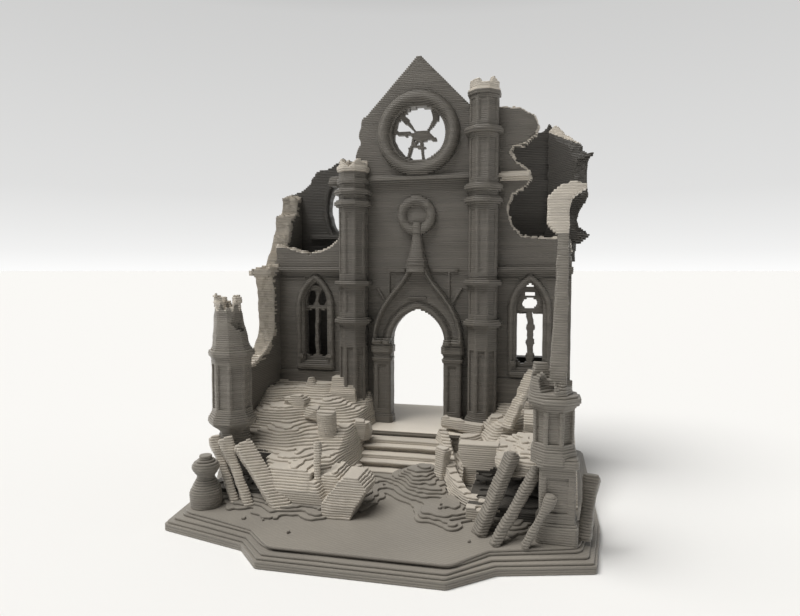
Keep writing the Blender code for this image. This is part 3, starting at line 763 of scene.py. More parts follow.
ROSE_BARS = (
    ((-4.6, 0.5), (0.2, 0.0), 0.26), ((-3.2, 3.4), (-2.2, 2.4), 0.42), ((-2.2, 2.4), (-0.6, 0.4), 0.2),
    ((2.4, 3.8), (2.9, 2.5), 0.4), ((2.9, 2.5), (1.2, 0.2), 0.25), ((-0.9, -0.5), (-2.1, -4.3), 0.24),
    ((0.3, -0.6), (0.7, -4.5), 0.24), ((1.4, 0.0), (2.6, -1.0), 0.34), ((-0.6, -2.0), (0.9, -2.3), 0.2),
    ((-1.7, -2.3), (-0.5, -1.3), 0.22),
)


def rose_tracery_solid(x, y, z):
    """What is left of the tracery: stubs round the rim and a branching piece in the middle."""
    u, v = x, z - ROSE_Z
    rim = common(np.hypot(u, v) - ROSE_RADIUS - 0.4, 4.25 - np.hypot(u, v))
    pieces = [rim]
    for start, end, width in ROSE_BARS:
        length = math.hypot(end[0] - start[0], end[1] - start[1])
        way = ((end[0] - start[0]) / length, (end[1] - start[1]) / length)
        along = np.clip((u - start[0]) * way[0] + (v - start[1]) * way[1], 0, length)
        pieces.append(np.hypot(u - start[0] - along * way[0], v - start[1] - along * way[1]) - width)
    pieces.append(np.hypot((u - 0.3) / 1.5, v + 0.3) - 0.95)
    ragged = join(*pieces) + 0.16 * noise(u, 0, v, 0.8, 23)
    return common(ragged, slab(y, FRONT_Y + 0.5, FRONT_Y + 1.5))


def jamb_solid(side):
    """A door pier with its base, capital and impost."""
    def solid(x, y, z):
        near = x * side
        low, high = DOOR_HALF_WIDTH - 0.15, DOOR_HALF_WIDTH + 2.95
        pier = block(near, y, 0, (low, FRONT_Y - 1.5, -1), (high, FRONT_Y + 1.2, 1), 0.35)
        swell = profile(z, [(7, 0.35), (8.7, 0.35), (9.1, 0.0), (18.3, 0.0), (18.5, 0.3), (18.9, 0.3),
                            (19.1, 0.0), (19.5, 0.05), (19.9, 0.42), (20.9, 0.42), (21.3, 0.15), (22, 0.1)])
        hollow = block(near, y, z, (low + 0.9, FRONT_Y - 2, 9.8), (high - 0.9, FRONT_Y - 1.25, 17.6), 0.1)
        return common(without(pier - swell, hollow), slab(z, 7, DOOR_SPRING_Z))
    return solid


HOOD_HALF = [(7.95, DOOR_SPRING_Z - 0.3), (7.85, 23.4), (7.3, 25.6), (6.2, 27.9), (4.7, 30.0), (3.2, 31.8),
             (2.1, 33.4), (1.55, 34.9)]


def hood_solid(x, y, z):
    """The ogee hood over the door: a roll along its outer edge, a flat band and a moulding round the arch."""
    outer = outline(x, z, HOOD_HALF + [(-px, pz) for px, pz in reversed(HOOD_HALF)])
    inner = arch(x, z, 0, DOOR_HALF_WIDTH - 0.1, -1, DOOR_SPRING_Z, DOOR_APEX_Z - 0.1)
    band = common(outer, -inner)
    roll = half_round((-outer - 0.45) / 0.45)
    lip = half_round((inner - 0.55) / 0.5)
    notch = smooth_step(1 - np.abs(inner - 1.35) / 0.3) * 0.3
    tie = (np.abs(z - 29.3) < 0.2) * (np.abs(x) < 1.6) * 0.3
    face = FRONT_Y - 0.7 - 1.1 * roll - 0.3 * lip + notch - tie
    foot = (z < DOOR_SPRING_Z + 0.6) * 0.5
    return common(band, face - foot - y, y - FRONT_Y - 0.3)


def finial_solid(x, y, z):
    """The hood's tapering neck with its collar and the blunt tip before the medallion."""
    radius = profile(z, [(33, 2.1), (34.6, 1.85), (34.8, 2.05), (35.2, 1.8), (35.5, 1.9), (36.0, 1.6),
                         (38.2, 1.1), (40.0, 0.78), (40.2, 0.92), (41.5, 0.92), (42.0, 0.7)])
    cx, cy = -0.1, FRONT_Y - 0.6
    square = common(np.abs(x - cx), np.abs(y - cy))
    return common(0.5 * (square + circle(x, y, cx, cy)) - radius * 0.93, z - 42.0)


def medallion_solid(x, y, z):
    """A disc with a raised rim and a worn boss left in its hollow."""
    out = np.hypot(x + 0.2, z - MEDALLION_Z)
    rim = half_round((out - 2.55) / 0.85)
    boss = 0.3 * smooth_step(1 - np.hypot(x + 0.1, z - MEDALLION_Z + 0.5) / 1.9)
    face = FRONT_Y - 0.6 - 0.6 * rim - boss - 0.08 * noise(x, 0, z, 0.9, 25)
    return common(out - MEDALLION_RADIUS, face - y, y - FRONT_Y - 0.3)


def string_solid(z0, x0, x1, ragged=False):
    """A string course: a half-round roll over a thin drip."""
    def solid(x, y, z):
        reach = 0.35 + 0.75 * half_round((z - z0) / 0.5)
        ends = slab(x, x0, x1) + (0.3 * noise(x, y, z, 0.8, 27) if ragged else 0.0)
        return common(ends, FRONT_Y - reach - y, y - FRONT_Y - 0.3, slab(z, z0 - 0.8, z0 + 0.5))
    return solid


def make_centre():
    """The gabled wall, the door with its hood and medallion, the rose window and the top string course."""
    printed("printed_centre_wall", ["centre_wall"], centre_solid)
    printed("printed_rose_ring", ["rose_ring"], ring_solid)
    printed("printed_rose_tracery", ["rose_tracery"], rose_tracery_solid, grid=FINEST)
    printed("printed_left_jamb", ["left_door_jamb"], jamb_solid(-1))
    printed("printed_right_jamb", ["right_door_jamb"], jamb_solid(1))
    printed("printed_door_hood", ["door_hood"], hood_solid, grid=FINE)
    printed("printed_finial", ["hood_finial"], finial_solid, margin=0.9, grid=FINEST)
    printed("printed_medallion", ["medallion"], medallion_solid, grid=FINE)

    def top_string(x, y, z):
        middle = string_solid(TOP_STRING_Z, -10.2, 10.2)(x, y, z)
        spur = string_solid(TOP_STRING_Z, 12.6, 18.5, True)(x, y, z)
        stub = common(slab(x, -15.9, -12.6), np.hypot(y - FRONT_Y - 0.1, z - TOP_STRING_Z + 0.1) - 0.95)
        return join(middle, spur, stub + 0.15 * noise(x, y, z, 0.8, 28))

    # Right of x = 13.5 the ragged spur gets the painted highlight of a broken edge
    printed("printed_top_string", ["top_string_course"], top_string,
            box=((-17, FRONT_Y - 1.8, 47.8), (19.5, FRONT_Y + 1.4, 51.0)), painted_light=lambda x, y, z: x - 13.5)


PAINTED_HIGHLIGHT_FROM_Z = 37               # the bays' broken edges carry a painted highlight above this height
PAINTED_HIGHLIGHT_WIDTH = 0.32
BAY_TOPS = {
    -1: [(-10.6, 52.0), (-13.0, 51.8), (-13.4, 47.5), (-14.0, 40.7), (-15.6, 38.4), (-17.8, 37.5),
         (-19.9, 37.1), (-22.1, 37.5), (-24.0, 38.2), (-26.6, 38.5)],
    1: [(25.4, 39.3), (22.0, 39.3), (17.4, 39.7), (15.8, 41.6), (15.1, 44.2), (15.9, 46.4),
        (18.2, 47.8), (18.9, 49.2), (18.6, 50.3), (16.6, 51.6), (15.5, 53.3), (16.0, 54.2),
        (17.8, 54.5), (19.5, 55.9), (20.1, 57.5), (19.2, 59.3), (16.9, 60.6), (13.9, 60.9),
        (10.6, 60.9)],
}


def bay_outline(side, outer):
    """A bay's outline as far out as the given side: its level foot and its broken top."""
    foot = [(side * outer, PLATFORM_Z), (side * 10.6, PLATFORM_Z)]
    return foot[::-side] + BAY_TOPS[side]


def bay_solid(side):
    """A bay of the front wall with its lancet window, and a ragged broken top."""
    points = bay_outline(side, 26.6 if side < 0 else 25.4)

    def solid(x, y, z):
        ragged = 0.0
        if z > 35.5:
            ragged = rough(x, 0, z, (0.22, 1.0, 31), (0.16, 0.4, 32)) + 0.12 * noise(x, y, z, 0.9, 33)
            ragged = ragged + 0.55 * np.clip(FRONT_Y + 0.7 - y, 0.0, 0.7)
        wall = common(outline(x, z, points) + ragged, slab(y, FRONT_Y, WALL_BACK_Y))
        centre = side * WINDOW_X
        hole = arch(x, z, centre, WINDOW_HALF_WIDTH, WINDOW_SILL_Z, WINDOW_SPRING_Z, WINDOW_APEX_Z)
        splay = arch(x, z, centre, WINDOW_HALF_WIDTH + 0.1, WINDOW_SILL_Z - 0.4, WINDOW_SPRING_Z,
                     WINDOW_APEX_Z + 0.1) - np.maximum(FRONT_Y + 0.9 - y, 0.0)
        near = x * side
        plinth = common(slab(z, PLATFORM_Z, 16.0), slab(y, FRONT_Y - 0.35, FRONT_Y + 0.5),
                        slab(near, 13, 25.8))
        fillet = common(slab(z, 32.3, 32.75), slab(y, FRONT_Y - 0.25, FRONT_Y + 0.5), slab(near, 13, 25.4))
        frame_edge = arch(x, z, centre, 3.6, 16.0, WINDOW_SPRING_Z, WINDOW_APEX_Z + 2.2)
        return without(join(wall, plinth, without(fillet, frame_edge)), common(hole, splay), splay + 0.9)
    return solid


def window_frame_solid(side):
    """One bold roll round the window, with small capitals at the springing and a sill."""
    def solid(x, y, z):
        u = x - side * WINDOW_X
        edge = arch(u, z, 0.0, WINDOW_HALF_WIDTH + 1.0, WINDOW_SILL_Z - 0.9,
                    WINDOW_SPRING_Z - 0.8, WINDOW_APEX_Z + 1.0)
        roll = np.hypot(edge, (y - FRONT_Y + 0.1) * 0.9) - 0.52
        inner = arch(u, z, 0.0, WINDOW_HALF_WIDTH + 0.1, WINDOW_SILL_Z, WINDOW_SPRING_Z, WINDOW_APEX_Z)
        splay = common(edge, -inner + 0.4 * (y - FRONT_Y + 0.2), slab(y, FRONT_Y - 0.15, FRONT_Y + 0.8))
        sill = block(u, y, z, (-3.3, FRONT_Y - 0.8, WINDOW_SILL_Z - 1.4),
                     (3.3, FRONT_Y + 0.6, WINDOW_SILL_Z - 0.5), 0.25)
        low, high = (FRONT_Y - 0.8, WINDOW_SILL_Z + 0.4), (FRONT_Y + 0.4, WINDOW_SILL_Z + 1.2)
        feet = [block(u, y, z, (mid - 0.6, *low), (mid + 0.6, *high), 0.25) for mid in (-2.75, 2.75)]
        worn = 0.07 * noise(x, y, z, 0.9, 41)
        return common(join(roll, splay, sill, *feet) + worn, y - FRONT_Y - 0.9)
    return solid


def window_tracery_solid(side):
    """Two lights under a pair of lobes on the left, under a round eye and a small foil on the right."""
    def solid(x, y, z):
        u = x - side * WINDOW_X + 0.14 * noise(0, 0, z, 1.4, 42 + side)
        opening = arch(u, z, 0.0, WINDOW_HALF_WIDTH + 0.25, WINDOW_SILL_Z - 0.1,
                       WINDOW_SPRING_Z, WINDOW_APEX_Z + 0.1)
        bar_z = 27.2
        mullion = common(np.abs(u) - (0.34 if side < 0 else 0.5), z - bar_z)
        bar = np.abs(z - bar_z) - 0.36
        bottoms = z - WINDOW_SILL_Z - 0.5 - 0.7 * np.abs(np.abs(u) - 1.2)
        parts = [mullion, bar, bottoms]
        if side < 0:
            lobes = [np.hypot((u - mid) / 0.8, (z - 28.95) / 1.45) - 1.0 for mid in (-1.1, 1.1)]
            parts.append(without(bar_z - z, *lobes))
        else:
            eye = np.hypot(u, (z - 28.45) * 1.3) - 1.2
            foils = [np.hypot(u - mid, z - 30.0) - 0.38 for mid in (-0.5, 0.0, 0.5)]
            parts.append(without(bar_z - z, eye, *foils))
            parts += [np.hypot(u, (z - height) / 1.2) - 0.7 for height in (19.6, 22.0, 24.4)]
        worn = rough(x, y, z, (0.1, 0.7, 43), (0.05, 0.35, 44))
        return common(opening, join(*parts) + worn, slab(y, FRONT_Y + 0.75, FRONT_Y + 1.75))
    return solid


def make_bays():
    """On each side the bay, its window's frame and tracery, and the string course over it."""
    for side, word in ((-1, "left"), (1, "right")):
        edge = bay_outline(side, 26.6)

        # Faces along the broken top, high up, get the painted highlight of a broken edge
        def bay_painted_highlight(x, y, z, edge=edge):
            return np.where((z > PAINTED_HIGHLIGHT_FROM_Z) & (np.abs(x) > 13.2), outline(x, z, edge) + PAINTED_HIGHLIGHT_WIDTH, -1.0)

        def window_piece(kind, solid, margin, grid):
            printed(f"printed_{word}_{kind}", [f"{word}_{kind}"], solid, margin=margin, grid=grid)

        printed(f"printed_{word}_bay", [f"{word}_bay_wall"], bay_solid(side), margin=1.3, painted_light=bay_painted_highlight)
        window_piece("window_frame", window_frame_solid(side), 0.7, FINE)
        window_piece("window_tracery", window_tracery_solid(side), 1.9, FINEST)
        ends = sorted((side * 12.6, side * 25.6))
        course = string_solid(STRING_Z, *ends)
        printed(f"printed_{word}_string", [f"{word}_string_course"], course, margin=1.2)


# ---------------------------------------------------------------- columns

RING_REACH = 0.78
RING_HALF_HEIGHT = 0.55
PANEL_HALF_WIDTH = 0.52
PAINTED_HIGHLIGHT_DEPTH = 2.6              # how far below its top a broken column gets a painted highlight
NOWHERE = 99.0                 # a height above everything


def column_solid(side, bottom, top, rings, panels, broken=0.0, foot=False):
    """A stretch of an octagonal column with half-round rings, sunk panels and a flat or broken top."""
    cx = side * COLUMN_X

    def solid(x, y, z):
        across = octagon(x, y, cx, COLUMN_Y)
        swell = 0.0
        for ring in rings:
            size = 0.4 if broken and top - ring < 4.5 else 1.0
            swell = max(swell, RING_REACH * size * half_round((z - ring) / RING_HALF_HEIGHT))
        if foot:
            swell = max(swell, profile(z, [(7, 0.75), (8.4, 0.75), (8.9, 0.5), (9.3, 0.4), (9.6, 0.0)]))
        body = across - COLUMN_RADIUS - swell
        angle, sideways, outward = facets(x, y, cx, COLUMN_Y)
        for low, high in panels:
            if low < z < high:
                depth = 0.3 if foot else 0.15
                panel = common(sideways - PANEL_HALF_WIDTH, COLUMN_RADIUS - depth - outward)
                body = without(body, panel)
        limit = top
        if broken:
            jag = noise(3.1 * np.cos(angle), 3.1 * np.sin(angle), 0, 1.1, 51 + side)
            hollow = circle(x, y, cx, COLUMN_Y) < COLUMN_RADIUS - 0.9
            limit = top - broken * (0.5 + 0.5 * jag) - 0.6 * broken * hollow
        return common(body, z - limit, bottom - z)
    return solid


def make_columns():
    """The stretches of both columns, from the bottom up."""
    # Side, bottom, top, heights of the rings, sunk panels, depth of the broken top, whether there is a foot
    shapes = {
        "left_column_lower": (-1, 7.5, 26.1, [25.2], [(10.5, 20.8)], 0.0, True),
        "left_column_middle": (-1, 26.0, 32.7, [31.7], [(26.8, 30.3)], 0.0, False),
        "left_column_upper": (-1, 32.6, 53.2, [51.2, 49.0, 47.2, 45.3], [(33.3, 43.9)], 1.9, False),
        "right_column_lower": (1, 7.5, 26.1, [25.2], [(10.5, 20.8)], 0.0, True),
        "right_column_middle": (1, 26.0, 32.9, [31.9], [(26.8, 30.5)], 0.0, False),
        "right_column_upper": (1, 32.8, 48.3, [47.4, 45.3], [(33.5, 43.9)], 0.0, False),
        "right_column_cap": (1, 48.2, 65.3, [56.5, 62.5], [(49.0, 55.3), (57.8, 61.4)], 2.0, False),
    }
    for node, shape in shapes.items():
        top, broken = shape[2], shape[5]
        crown = top - PAINTED_HIGHLIGHT_DEPTH if broken else NOWHERE

        # Faces near a broken top get the painted highlight of a broken edge
        def column_painted_highlight(x, y, z, crown=crown):
            return z - crown

        printed(f"printed_{node}", [node], column_solid(*shape), margin=1.2, grid=FINE, painted_light=column_painted_highlight)


# ---------------------------------------------------------------- side and rear walls

# Faces of the walls, from front to back or from left to right
LEFT_REAR_FACES = (23.4, 25.6)
RIGHT_REAR_FACES = (23.4, 25.4)
LEFT_SIDE_FACES = (-27.8, -25.6)
RIGHT_SIDE_FACES = (22.6, 24.6)
INNER_WALL_FACES = (11.7, 13.5)
CORNER_HALF_THICKNESS = 0.8
LEFT_SIDE = [
    (-4.2, 2.0), (26.0, 2.0), (26.0, 49.2), (23.0, 48.8), (19.2, 47.5), (18.9, 44.6), (16.2, 43.8),
    (15.9, 42.0), (14.3, 38.6), (12.4, 36.2), (11.6, 34.8), (8.4, 34.3), (6.2, 34.0), (6.0, 33.3),
    (7.6, 32.6), (8.2, 29.4), (8.3, 23.4), (7.2, 21.4), (5.2, 19.4), (2.0, 18.6), (-1.4, 17.2),
    (-3.6, 14.0),
]


def left_side_edge(x, y, z):
    """The left side wall's outline, broken further back towards the inside."""
    broken = np.clip((x - LEFT_SIDE_FACES[0]) * smooth_step((z - 17) / 6), 0.0, 2.4)
    return outline(y - broken, z, LEFT_SIDE)


def left_side_solid(x, y, z):
    """The left side wall, broken back in steps, with a cornice and a blind window."""
    ragged = 0.28 * noise(0, y, z, 1.6, 61) + 0.18 * noise(x, y, z, 0.6, 62)
    outer, inner = LEFT_SIDE_FACES
    face = slab(x, outer, inner)
    cornice = common(slab(x, outer - 0.5, inner + 0.3), slab(z, 33.1, 34.0), slab(y, 6.0, 26.0))
    plinth = common(slab(x, outer - 0.45, inner), slab(z, 2.0, 10.2))
    wall = common(join(face, cornice, plinth), left_side_edge(x, y, z) + ragged)
    window = arch(y, z, 17.6, 2.3, 15.5, 25.6, 30.4)
    hood = common(arch(y, z, 17.6, 3.6, 14.6, 25.6, 32.0), slab(x, outer - 0.35, outer + 0.5))
    sunk = common(window, x - outer - 0.9)
    return without(join(wall, without(hood, window)), sunk)


INNER_WALL = [
    (15.0, PLATFORM_Z), (26.0, PLATFORM_Z), (25.8, 43.6), (24.0, 43.9), (22.8, 42.6), (21.6, 40.2),
    (19.6, 39.4), (18.4, 37.8), (15.0, 37.2),
]


def inner_wall(side, x, y, z):
    """The wall between a tower and the chapel, with a doorway that is only sunk on the chapel's side."""
    ragged = 0.3 * noise(0, y, z, 1.5, 63) + 0.15 * noise(x, y, z, 0.6, 64)
    wall = common(outline(y, z, INNER_WALL) + ragged, slab(side * x, *INNER_WALL_FACES))
    doorway = common(arch(y, z, 20.0, 2.0, 0.0, 17.5, 21.5), side * x - 12.4)
    return without(wall, doorway)


def left_rear_solid(x, y, z):
    """The left tower's rear wall with a tall window, and its inner wall."""
    points = [(-27.2, PLATFORM_Z), (-11.8, PLATFORM_Z), (-11.8, 40.0), (-12.9, 46.0), (-13.7, 52.3),
              (-15.2, 54.6), (-17.0, 55.4), (-19.0, 54.0), (-20.6, 53.3), (-22.6, 53.2), (-24.0, 50.6),
              (-26.0, 49.3), (-27.2, 49.0)]
    ragged = 0.3 * noise(x, 0, z, 1.5, 63) + 0.15 * noise(x, y, z, 0.6, 64)
    wall = common(outline(x, z, points) + ragged, slab(y, *LEFT_REAR_FACES))
    bulge = np.hypot((x + 16.2) / 0.78, (z - 45.9) / 1.22) - 4.6
    hole = bulge + 0.12 * noise(x, 0, z, 0.9, 65)
    oval = np.abs(np.hypot((x + 15.4) / 0.82, (z - 45.9) / 1.3) - 6.2)
    moulding = common(oval - 0.5, slab(y, 22.9, 24.0), z - 52.0)
    sill = common(slab(z, 39.9, 40.7), slab(y, 22.7, 26.0), slab(x, -23.6, -12.4))
    label = common(arch(x, z, -19.2, 3.7, 11.2, 24.0, 30.8), slab(y, 25.0, 25.95), z - 40)
    blind = common(arch(x, z, -19.2, 2.8, 12.0, 24.0, 29.5), 24.8 - y)
    body = without(join(wall, common(moulding, wall - 1.0), sill, label), hole, blind)
    return join(body, inner_wall(-1, x, y, z))


def right_rear_solid(x, y, z):
    """The right tower's rear wall, its window in line with the front one, and its inner wall."""
    points = [(11.8, PLATFORM_Z), (24.4, PLATFORM_Z), (24.4, 33.0), (22.7, 36.4), (22.6, 58.0), (21.6, 59.8),
              (20.6, 58.9), (19.1, 58.3), (16.5, 57.4), (13.4, 55.9), (12.6, 51.0), (11.8, 50.0)]
    ragged = 0.26 * noise(x, 0, z, 1.4, 68) + 0.16 * noise(x, y, z, 0.55, 69)
    wall = common(outline(x, z, points) + ragged, slab(y, *RIGHT_REAR_FACES))
    window = arch(x, z, 18.6, 2.9, 18.1, 27.6, 32.4)
    label = common(arch(x, z, 18.6, 3.9, 17.0, 27.6, 33.8), slab(y, 25.0, 25.9))
    return join(without(join(wall, label), window), inner_wall(1, x, y, z))


def right_side_solid(x, y, z):
    """The low run of side wall behind the right bay."""
    points = [(14.8, PLATFORM_Z), (26.0, PLATFORM_Z), (25.7, 14.0), (25.2, 22.0), (23.6, 27.4), (22.6, 31.0),
              (20.6, 34.2), (18.6, 35.9), (14.8, 35.9)]
    ragged = 0.32 * noise(0, y, z, 1.6, 66) + 0.18 * noise(x, y, z, 0.6, 67)
    wall = common(outline(y, z, points) + ragged, slab(x, *RIGHT_SIDE_FACES))
    sunk = common(arch(y, z, 19.6, 1.9, 14.0, 22.6, 26.6), 23.8 - x)
    hood = common(arch(y, z, 19.6, 2.8, 13.4, 22.6, 27.8), slab(x, 24.3, 24.95))
    return without(join(wall, hood), sunk)


def right_corner_solid(x, y, z):
    """The high torn wall that closes the right tower's corner at a slant."""
    start, end = np.array([22.2, 22.4]), np.array([27.6, 15.2])
    along = (end - start) / np.linalg.norm(end - start)
    reach = (x - start[0]) * along[0] + (y - start[1]) * along[1]
    depth = (y - start[1]) * along[0] - (x - start[0]) * along[1]
    points = [(-1.4, 35.4), (5.6, 35.4), (5.8, 38.2), (7.4, 38.8), (9.2, 39.7), (7.4, 40.6), (6.4, 41.4),
              (5.9, 42.5), (6.7, 43.9), (8.1, 45.2), (8.6, 46.6), (8.3, 50.6), (8.5, 51.6), (9.5, 52.9),
              (8.2, 53.4), (7.3, 53.8), (6.8, 54.8), (5.0, 56.1), (3.0, 57.1), (1.4, 58.4), (0.0, 59.4),
              (-1.4, 59.0)]
    ragged = 0.26 * noise(reach, 0, z, 1.4, 68) + 0.2 * noise(x, y, z, 0.55, 69)
    chipped = 0.9 * np.clip(0.6 - depth, 0.0, 1.6) * smooth_step((z - 40) / 2)
    return common(outline(reach, z, points) + ragged + chipped, np.abs(depth) - CORNER_HALF_THICKNESS)


def make_outer_walls():
    """The side and rear walls and the slanting corner, with a painted highlight on their broken edges and
    painted shade on the rear walls, the right side wall and the corner.
    """
    def left_painted_highlight(x, y, z):
        return np.where((z > 18.0) & (y < 24.0), left_side_edge(x, y, z) + 0.7, -1.0)

    def corner_painted_highlight(x, y, z):
        return z + 0.62 * (x - 22.4) - 57.6

    printed("printed_left_side_wall", ["left_side_wall"], left_side_solid, margin=1.2, painted_light=left_painted_highlight)
    printed("printed_left_rear_wall", ["left_rear_wall"], left_rear_solid, margin=1.9)
    printed("printed_right_rear_wall", ["right_rear_wall"], right_rear_solid, margin=1.4)
    printed("printed_right_side_wall", ["right_side_wall"], right_side_solid, margin=1.2)
    printed("printed_right_corner", ["right_corner_wall"], right_corner_solid, margin=1.8, painted_light=corner_painted_highlight)


# ---------------------------------------------------------------- forecourt pillars


def left_pillar_solid(x, y, z):
    """Octagonal shaft with sunk faces, a ring under the broken top and a spreading foot."""
    cx, cy = LEFT_PILLAR
    radius = profile(z, [(10.0, 1.8), (10.6, 2.4), (11.2, 3.15), (11.6, 3.35), (12.1, 3.25), (12.8, 2.85),
                         (13.2, 2.72), (20.8, 2.72), (21.2, 2.85), (21.5, 3.15), (22.0, 3.15), (22.3, 2.8)])
    body = octagon(x, y, cx, cy) - radius
    if 13.4 < z < 20.1:
        sideways, outward = facets(x, y, cx, cy)[1:]
        body = without(body, common(sideways - 0.68, 2.5 - outward))
    return common(body + 0.05 * noise(x, y, z, 1.2, 71), z - 22.4)


def left_pillar_top_solid(x, y, z):
    """The tapering stump on the left pillar, with merlons left round a hollow."""
    cx, cy = LEFT_PILLAR
    lean = 0.075 * (z - 22)
    radius = profile(z, [(22.0, 2.75), (23.5, 2.45), (26.0, 2.05), (28.0, 1.85), (30.4, 1.75)])
    body = blend(circle(x + lean, y, cx, cy), octagon(x + lean, y, cx, cy), 0.3) - radius
    angle = np.arctan2(y - cy, x - cx)
    jag = noise(3 * np.cos(angle), 3 * np.sin(angle), 0, 0.9, 69)
    teeth = 29.3 + 0.9 * np.clip(2.4 * jag, -1, 1) + 0.5 * noise(x, y, 0, 0.5, 68)
    hollow = common(circle(x + lean, y, cx, cy) - 0.95, 28.3 - z)
    bite = rock(x, y, z, (cx + 1.7, cy - 1.0, 26.4), (0.9, 1.6, 1.5), 70)
    frayed = 0.25 * smooth_step((z - 26.5) / 2.5) * noise(x, y, z, 0.45, 67)
    return without(common(body + frayed + 0.07 * noise(x, y, z, 0.9, 72), z - teeth), hollow, bite)


def left_footing_solid(x, y, z):
    """Packed rubble that carries the left pillar."""
    radius = profile(z, [(2, 2.9), (3.6, 2.5), (6.0, 1.9), (8.2, 2.5), (9.2, 2.3), (10.4, 1.8)])
    return circle(x, y, -24.3, -7.0) - radius + 0.4 * noise(x, y, z, 2.2, 73) + 0.2 * noise(x, y, z, 0.9, 74)


def right_block_solid(x, y, z):
    """The square pedestal with a moulded cap, a base course and shallow sunk panels."""
    cx, cy = RIGHT_PILLAR
    swell = profile(z, [(2, 0.35), (4.2, 0.35), (4.5, 0.0), (10.9, 0.0), (11.2, 0.35), (11.9, 0.35),
                        (12.3, 0.0)])
    body = block(x, y, 0, (cx - 2.1, cy - 2.1, -1), (cx + 2.1, cy + 2.1, 1), 0.3) - swell
    panel = block(x, y, z, (cx - 1.2, cy - 3, 5.6), (cx + 1.2, cy - 1.85, 10.0), 0.1)
    side_panel = block(x, y, z, (cx - 3, cy - 1.2, 5.6), (cx - 1.85, cy + 1.2, 10.0), 0.1)
    return common(without(body, panel, side_panel), z - 12.3)


def right_shaft_solid(x, y, z):
    """The octagonal shaft between the pedestal and the ring."""
    cx, cy = RIGHT_PILLAR[0] - 0.5, RIGHT_PILLAR[1]
    radius = profile(z, [(12, 2.6), (12.9, 2.6), (13.3, 2.36), (18.0, 2.36), (18.3, 2.7), (18.6, 3.05),
                         (19.1, 3.05), (19.4, 2.6), (20, 2.5)])
    body = octagon(x, y, cx, cy) - radius
    if 13.9 < z < 17.6:
        sideways, outward = facets(x, y, cx, cy)[1:]
        body = without(body, common(sideways - 0.6, 1.95 - outward))
    return common(body, z - 19.5)


def right_top_solid(x, y, z):
    """The torn drum on the right pillar."""
    cx, cy = RIGHT_PILLAR[0] - 0.9, RIGHT_PILLAR[1]
    angle = np.arctan2(y - cy, x - cx)
    jag = noise(3 * np.cos(angle), 3 * np.sin(angle), 0, 1.4, 75)
    limit = 21.6 + 1.5 * jag + smooth_step((cx - 0.2 - x) / 0.8) - 0.8 * smooth_step((x - cx - 1.0) / 0.8)
    body = circle(x, y, cx, cy) - profile(z, [(19.3, 2.6), (20.2, 2.45), (23.2, 1.9)])
    hollow = rock(x, y, z, (cx - 0.5, cy - 1.9, 20.9), (0.9, 1.1, 1.1), 80)
    return without(common(body + 0.22 * noise(x, y, z, 0.9, 76), z - limit), hollow)


def shard_solid(x, y, z):
    """The tall shard of wall that still stands on the right pillar."""
    points = [(21.6, 20.5), (23.6, 20.5), (23.6, 36.6), (23.6, 41.0), (23.9, 42.2), (24.7, 42.9),
              (25.5, 43.4), (25.4, 43.9), (23.6, 44.0), (22.4, 43.6), (21.3, 42.6), (21.1, 42.3),
              (21.1, 39.4), (21.6, 38.7), (22.3, 38.2), (22.3, 36.0), (22.1, 30.0), (21.9, 26.0)]
    ragged = 0.07 * noise(x, 0, z, 1.2, 77) + 0.07 * noise(x, y, z, 0.45, 78)
    return common(outline(x, z, points) + ragged, slab(y, -16.9, -14.9) + 0.06 * noise(x, y, z, 0.8, 79))


def make_pillars():
    """Both forecourt pillars from the foot up, and the shard of wall on the right one."""
    # The left pillar's frayed top gets the painted highlight of a broken edge
    def pillar_painted_highlight(x, y, z):
        return z - 28.5 + 0.6 * np.sin(5 * x + 3 * y)

    printed("printed_left_pillar", ["left_pillar_shaft"], left_pillar_solid, margin=0.9, grid=FINE)
    printed("printed_left_pillar_top", ["left_pillar_broken_top"], left_pillar_top_solid,
            margin=1.1, grid=FINE, painted_light=pillar_painted_highlight)
    printed("printed_left_footing", ["left_pillar_footing"], left_footing_solid, margin=1.4)
    printed("printed_right_block", ["right_pillar_block"], right_block_solid, margin=1.0, grid=FINE)
    printed("printed_right_shaft", ["right_pillar_shaft"], right_shaft_solid, margin=0.9, grid=FINE)
    printed("printed_right_pillar_top", ["right_pillar_broken_top"], right_top_solid, margin=1.3, grid=FINE)
    # The shard above 38.2 mm gets the painted highlight of a broken edge
    printed("printed_shard", ["right_wall_shard"], shard_solid, margin=1.6, grid=FINE,
            painted_light=lambda x, y, z: z - 38.2)


# ---------------------------------------------------------------- rubble


def left_heap_height(x, y):
    """Rubble banked against the left bay, falling evenly to a ledge and then steeply to the forecourt."""
    back = 14.4 - 0.315 * np.maximum(0.0, 12.6 - y)
    edge = smooth_step((-5.2 - x) / 3.4) * 0.8 + 0.2 * smooth_step((-5.0 - x) / 14.0)
    ripple = 0.35 * np.sin(0.55 * x + 0.4 * y) + 0.3 * np.sin(0.9 * y - 0.3 * x)
    lumps = rough(x, y, 0, (0.26, 2.9, 81), (0.13, 1.3, 82), (0.05, 0.55, 83))
    level = GROUND_Z + (back - GROUND_Z + ripple + lumps) * edge
    front = -13.4 + 0.5 * np.sin(0.9 * x) - 0.12 * np.maximum(x + 9.0, 0.0)
    return np.minimum(level, GROUND_Z + 4.4 + 1.15 * (y - front))


def right_heap_height(x, y):
    """Rubble banked against the right bay."""
    back = 11.6 - 0.40 * np.maximum(0.0, 11.0 - y)
    edge = smooth_step((x - 3.6) / 11.0)
    ripple = 0.4 * np.sin(0.7 * x - 0.5 * y) + 0.3 * np.sin(0.8 * y + 0.2 * x)
    lumps = rough(x, y, 0, (0.32, 2.4, 84), (0.16, 1.1, 85), (0.06, 0.5, 86))
    front = smooth_step((y + 7.5) / 5.5)
    return GROUND_Z + (back - GROUND_Z + ripple + lumps) * edge * (0.04 + 0.96 * front)


